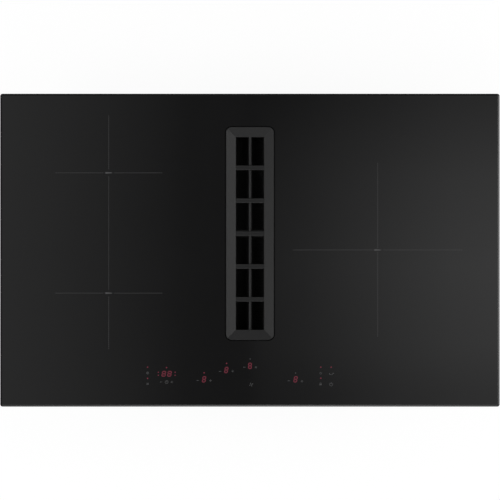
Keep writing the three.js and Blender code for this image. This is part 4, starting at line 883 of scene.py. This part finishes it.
grey_plastic = moulded("grey_plastic", (0.095, 0.099, 0.104), 1300.0, 0.00005, rough=(0.46, 0.62))
dress(grey_plastic, "plenum_tub", "drip_tray")
dress(grey_plastic, "fan_casing", "scroll_wall", "casing_lid", "duct_spigot")
dress(black_plastic, "inlet_ring")
dress(silicone, "drip_tray_seal")
ear_drop, ear_screw_size = 0.0003, 0.95  # below the scroll wall's foot, and to a full screw
ear_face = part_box("scroll_wall")[0].z - ear_drop
ears = [(-0.066, -0.110), (-0.066, 0.120), (0.3685, 0.020), (0.3685, 0.150)]
ears += [(0.0, -0.170), (0.150, -0.170), (0.0, 0.219), (0.100, 0.219)]
joint_screws = bmesh.new()
for x, y in ears:
    flanged_screw(joint_screws, (x, y, ear_face), (0, 0, 1), ear_screw_size)
piece("joint_screws", joint_screws, "root", screw_zinc)

# ================================================================ impeller and motor
# Eleven backward-curved blades stand between a shroud and a back plate, moulded in black. The
# lacquered can of the motor sits in the plate's cup, and a plated shaft joins the two.

dress(black_plastic, "fan_impeller")
dress(screw_zinc, "impeller_shaft")


def lacquered_steel():
    inputs = {"Metallic": 0.4, "Coat Weight": 0.2, "Coat Roughness": 0.3}
    made, tree, shader = material("lacquered_steel", inputs)
    fine, patches = effect(tree, grain, {"Scale": 1200.0, "Patch Scale": 35.0})
    edge = effect(tree, worn_edges, {"Radius": 0.0005})
    lacquer = ramp(tree, patches, (0.3, (0.19, 0.20, 0.21, 1)), (0.7, (0.25, 0.26, 0.27, 1)))
    wire(tree, shader, {
        "Base Color": mixed(tree, edge["Mask"], lacquer, (0.42, 0.43, 0.44, 1)),
        "Roughness": remap(tree, fine, 0.3, 0.7, 0.34, 0.5),
        "Normal": bumped(tree, fine, 0.00004, edge["Normal"]),
    })
    return made


dress(lacquered_steel(), "fan_motor")

# ================================================================ worktop clamps
# Each clamp is a plated steel arm on an upright screw between two ears of the pan. Turning the
# screw pulls the arm, swung out, up against the underside of the worktop.


def clamp_screw(mesh, low, high):
    """A hexagon head with a chamfer and a round-bottomed thread up to a rounded end."""
    thread_pitch, thread_depth, shank = 0.0016, 0.0004, 0.0025
    sides, per_turn = 12, 4  # points round the screw, and rings to a turn of its thread
    centre = (low + high) / 2
    place = Vector((centre.x, centre.y, 0.0))
    head, head_top = (high.x - low.x) / 2, low.z + 0.0035
    profile = [(head * 0.80, low.z, 0), (head * 0.98, low.z + 0.0006, 6)]
    profile += [(head * 0.98, head_top, 6), (shank * 0.9, head_top + 0.0001, 0)]
    rings = [
        [place + point for point in ring(radius, z, corners, sides)]
        for radius, z, corners in profile
    ]
    steps = int((high.z - head_top) / thread_pitch * per_turn) - 1
    for step in range(1, steps + 1):
        z = head_top + step * thread_pitch / per_turn
        taper = 0.75 + 0.25 * min(1.0, (steps - step + 1) / 3)
        points = ring(shank, z, count=sides)
        for number, point in enumerate(points):
            wave = 0.5 + 0.5 * math.cos(2 * math.pi * (step / per_turn - number / sides))
            reach = (1 - wave * thread_depth / shank) * taper
            points[number] = place + Vector((point.x * reach, point.y * reach, z))
        rings.append(points)
    skin(mesh, rings)


for end in ("front", "rear"):
    for side in ("left", "right"):
        dress(screw_zinc, f"clamp_arm_{end}_{side}")
        spindle = bmesh.new()
        clamp_screw(spindle, *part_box(f"clamp_screw_{end}_{side}"))
        made = piece(f"clamp_spindle_{end}_{side}", spindle, "root", screw_zinc)
        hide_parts(f"clamp_screw_{end}_{side}")

# ================================================================ mains connection and driver
# The mains cable enters a black box through a gland and ends in a ceramic block. The driver of
# the blower's motor sits in a closed case. Both are screwed under the pan.

dress(black_plastic, "terminal_box", "terminal_cover", "cable_gland", "fan_driver_box")


def white_ceramic():
    made, tree, shader = material("white_ceramic", {"Coat Weight": 0.5, "Coat Roughness": 0.15})
    fine, patches = effect(tree, grain, {"Scale": 900.0, "Patch Scale": 70.0})
    edge = effect(tree, worn_edges, {"Radius": 0.0004})
    glaze = ramp(tree, patches, (0.3, (0.60, 0.58, 0.52, 1)), (0.7, (0.72, 0.70, 0.64, 1)))
    wire(tree, shader, {
        "Base Color": mixed(tree, edge["Mask"], glaze, (0.78, 0.76, 0.70, 1)),
        "Roughness": remap(tree, fine, 0.3, 0.7, 0.25, 0.4),
        "Normal": bumped(tree, fine, 0.00003, edge["Normal"]),
    })
    return made


dress(white_ceramic(), "terminal_block")
# Each case's screws: their inset from its sides, rise from its lowest face, and size.
cases = [("terminal_cover", 0.006, 0.0025, 0.8), ("fan_driver_box", 0.008, 0.0, 1.0)]
case_screws = bmesh.new()
for case, inset, rise, size in cases:
    low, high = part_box(case)
    for x in (low.x + inset, high.x - inset):
        for y in (low.y + inset, high.y - inset):
            flanged_screw(case_screws, (x, y, low.z + rise), (0, 0, -1), size)
piece("case_screws", case_screws, "root", screw_zinc)

# ================================================================ studio
# A pale floor, a soft white surround and five soft lamps. A graded card overhead and two black
# flags show only in gloss. The camera looks straight down, as in the photograph.

scene = bpy.context.scene
scene.view_settings.view_transform = "Standard"


def either(tree, *flags):
    """The largest of several flags."""
    total = flags[0]
    for flag in flags[1:]:
        total = put(tree, "Math", {0: total, 1: flag}, operation="MAXIMUM").outputs[0]
    return total


def plate(name, half_width, half_depth, z, finish):
    """A flat rectangle of the stage, at a height."""
    mesh = bmesh.new()
    corners = [(-1, -1), (1, -1), (1, 1), (-1, 1)]
    mesh.faces.new([mesh.verts.new((x * half_width, y * half_depth, 0.0)) for x, y in corners])
    data = bpy.data.meshes.new(name)
    mesh.to_mesh(data)
    mesh.free()
    data.materials.append(finish)
    made = bpy.data.objects.new(name, data)
    made.location.z = z
    scene.collection.objects.link(made)
    made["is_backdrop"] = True
    return made


def bare_material(name):
    made = bpy.data.materials.new(name)
    made.use_nodes = True
    made.node_tree.nodes.remove(made.node_tree.nodes["Principled BSDF"])
    return made, made.node_tree


def floor_paint():
    """Pale matt floor. Straight views of it are lifted to white but keep the shadow, and from
    below it is clear, so that the underside can be seen."""
    made, tree = bare_material("floor_paint")
    path = put(tree, "LightPath").outputs
    seen = either(tree, path["Is Camera Ray"], path["Is Glossy Ray"], path["Is Transmission Ray"])
    matt = put(tree, "BsdfDiffuse", {"Color": grey(0.8)}).outputs[0]
    shaded = put(tree, "BsdfDiffuse", {"Color": grey(0.14)}).outputs[0]
    lifted = put(tree, "Emission", {"Color": grey(0.90)}).outputs[0]
    shown = put(tree, "AddShader", {0: shaded, 1: lifted}).outputs[0]
    paint = put(tree, "MixShader", {0: seen, 1: matt, 2: shown}).outputs[0]
    under = put(tree, "NewGeometry").outputs["Backfacing"]
    clear = either(tree, under, path["Is Shadow Ray"])
    through = put(tree, "BsdfTransparent").outputs[0]
    surface = put(tree, "MixShader", {0: clear, 1: paint, 2: through}).outputs[0]
    wire(tree, tree.nodes["Material Output"], {"Surface": surface})
    return made


floor_reach = 14.0
plate("floor", floor_reach, floor_reach, 0.0, floor_paint())


def graded_card():
    """The card is dark over the middle of the glass and lighter outwards, most to the right."""
    made, tree = bare_material("graded_card")
    place = put(tree, "SeparateXYZ", {0: put(tree, "TexCoord").outputs["Object"]}).outputs
    across = remap(tree, place["X"], -0.66, 0.66, 0.0, 1.0)
    tones = [(0.04, 0.50), (0.13, 0.43), (0.22, 0.34), (0.31, 0.25), (0.38, 0.17), (0.50, 0.15)]
    tones += [(0.51, 0.27), (0.60, 0.37), (0.69, 0.53), (0.80, 0.72), (0.88, 0.86), (0.96, 0.95)]
    level = ramp(tree, across, *tones)
    along = remap(tree, place["Y"], -0.40, 0.40, 0.0, 1.0)
    fall = ramp(tree, along, (0.05, 0.68), (0.20, 0.88), (0.45, 1.0), (0.72, 0.84), (0.97, 0.52))
    right = remap(tree, place["X"], -0.005, 0.005, 0.0, 1.0)
    share = mixed(tree, right, grey(1.0), fall)
    both = {0: 1.0, 6: level, 7: share}
    light = put(tree, "Mix", both, data_type="RGBA", blend_type="MULTIPLY").outputs[2]
    glow = put(tree, "Emission", {"Color": light}).outputs[0]
    wire(tree, tree.nodes["Material Output"], {"Surface": glow})
    return made


def only_in_gloss(made):
    made.visible_camera = made.visible_diffuse = False
    made.visible_shadow = made.visible_transmission = False


camera_height = 6.0  # above the glass
card_half_width, card_half_depth = 0.75, 0.52
card_z = glass_face + camera_height / 2
only_in_gloss(plate("graded_card", card_half_width, card_half_depth, card_z, graded_card()))

flag_cloth = material("flag_cloth", {"Base Color": grey(0.02), "Roughness": 1.0})[0]
flag_half_width, flag_half_height, flag_middle, flag_distance = 2.4, 1.2, 1.3, 2.6
flags = [("rear_flag", 0.0, flag_distance, 0.0), ("left_flag", -flag_distance, 0.0, math.pi / 2)]
for name, x, y, turn in flags:
    flag = plate(name, flag_half_width, flag_half_height, flag_middle, flag_cloth)
    flag.location.x, flag.location.y = x, y
    flag.rotation_euler = (math.pi / 2, 0.0, turn)
    only_in_gloss(flag)

world = bpy.data.worlds.new("surround")
scene.world = world
world.use_nodes = True
tree = world.node_tree
path = put(tree, "LightPath").outputs
seen = either(tree, path["Is Camera Ray"], path["Is Glossy Ray"], path["Is Transmission Ray"])
height = put(tree, "SeparateXYZ", {0: put(tree, "TexCoord").outputs["Generated"]}).outputs["Z"]
backdrop = ramp(tree, height, (0.0, 1.0), (0.5, 1.0), (1.0, 0.36))
wire(tree, tree.nodes["Background"], {"Color": mixed(tree, seen, grey(0.5), backdrop)})


def lamp(name, place, size, radiance):
    """A square soft lamp that looks at the object, with a given brightness of its face."""
    data = bpy.data.lights.new(name, "AREA")
    data.size = size
    data.energy = radiance * math.pi * size * size
    made = bpy.data.objects.new(name, data)
    made.location = place
    object_middle = Vector((0, 0, 0.15))
    made.rotation_euler = (object_middle - Vector(place)).to_track_quat("-Z", "Y").to_euler()
    made.visible_camera = False
    scene.collection.objects.link(made)


lamp("key_lamp", (-2.1, -0.4, 2.8), 1.6, 2.25)
lamp("right_lamp", (2.5, 0.1, 1.6), 1.2, 3.7)
lamp("front_lamp", (0.1, -2.6, 1.2), 1.0, 3.0)
lamp("rear_lamp", (-0.2, 1.9, 3.0), 1.3, 0.8)
lamp("under_lamp", (0.4, -0.6, -2.6), 2.4, 1.2)

camera_x, camera_y = 0.00013, 0.00033
sensor_width, view_width = 36.0, 0.8307  # the view's is in metres, on the face of the glass
camera = bpy.data.cameras.new("camera")
camera.sensor_width = sensor_width
camera.lens = sensor_width * camera_height / view_width
viewer = bpy.data.objects.new("camera", camera)
viewer.location = (camera_x, camera_y, glass_face + camera_height)
scene.collection.objects.link(viewer)
scene.camera = viewer

# ================================================================ bounds
# The box of everything shown, but the stage, is measured.

low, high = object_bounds()
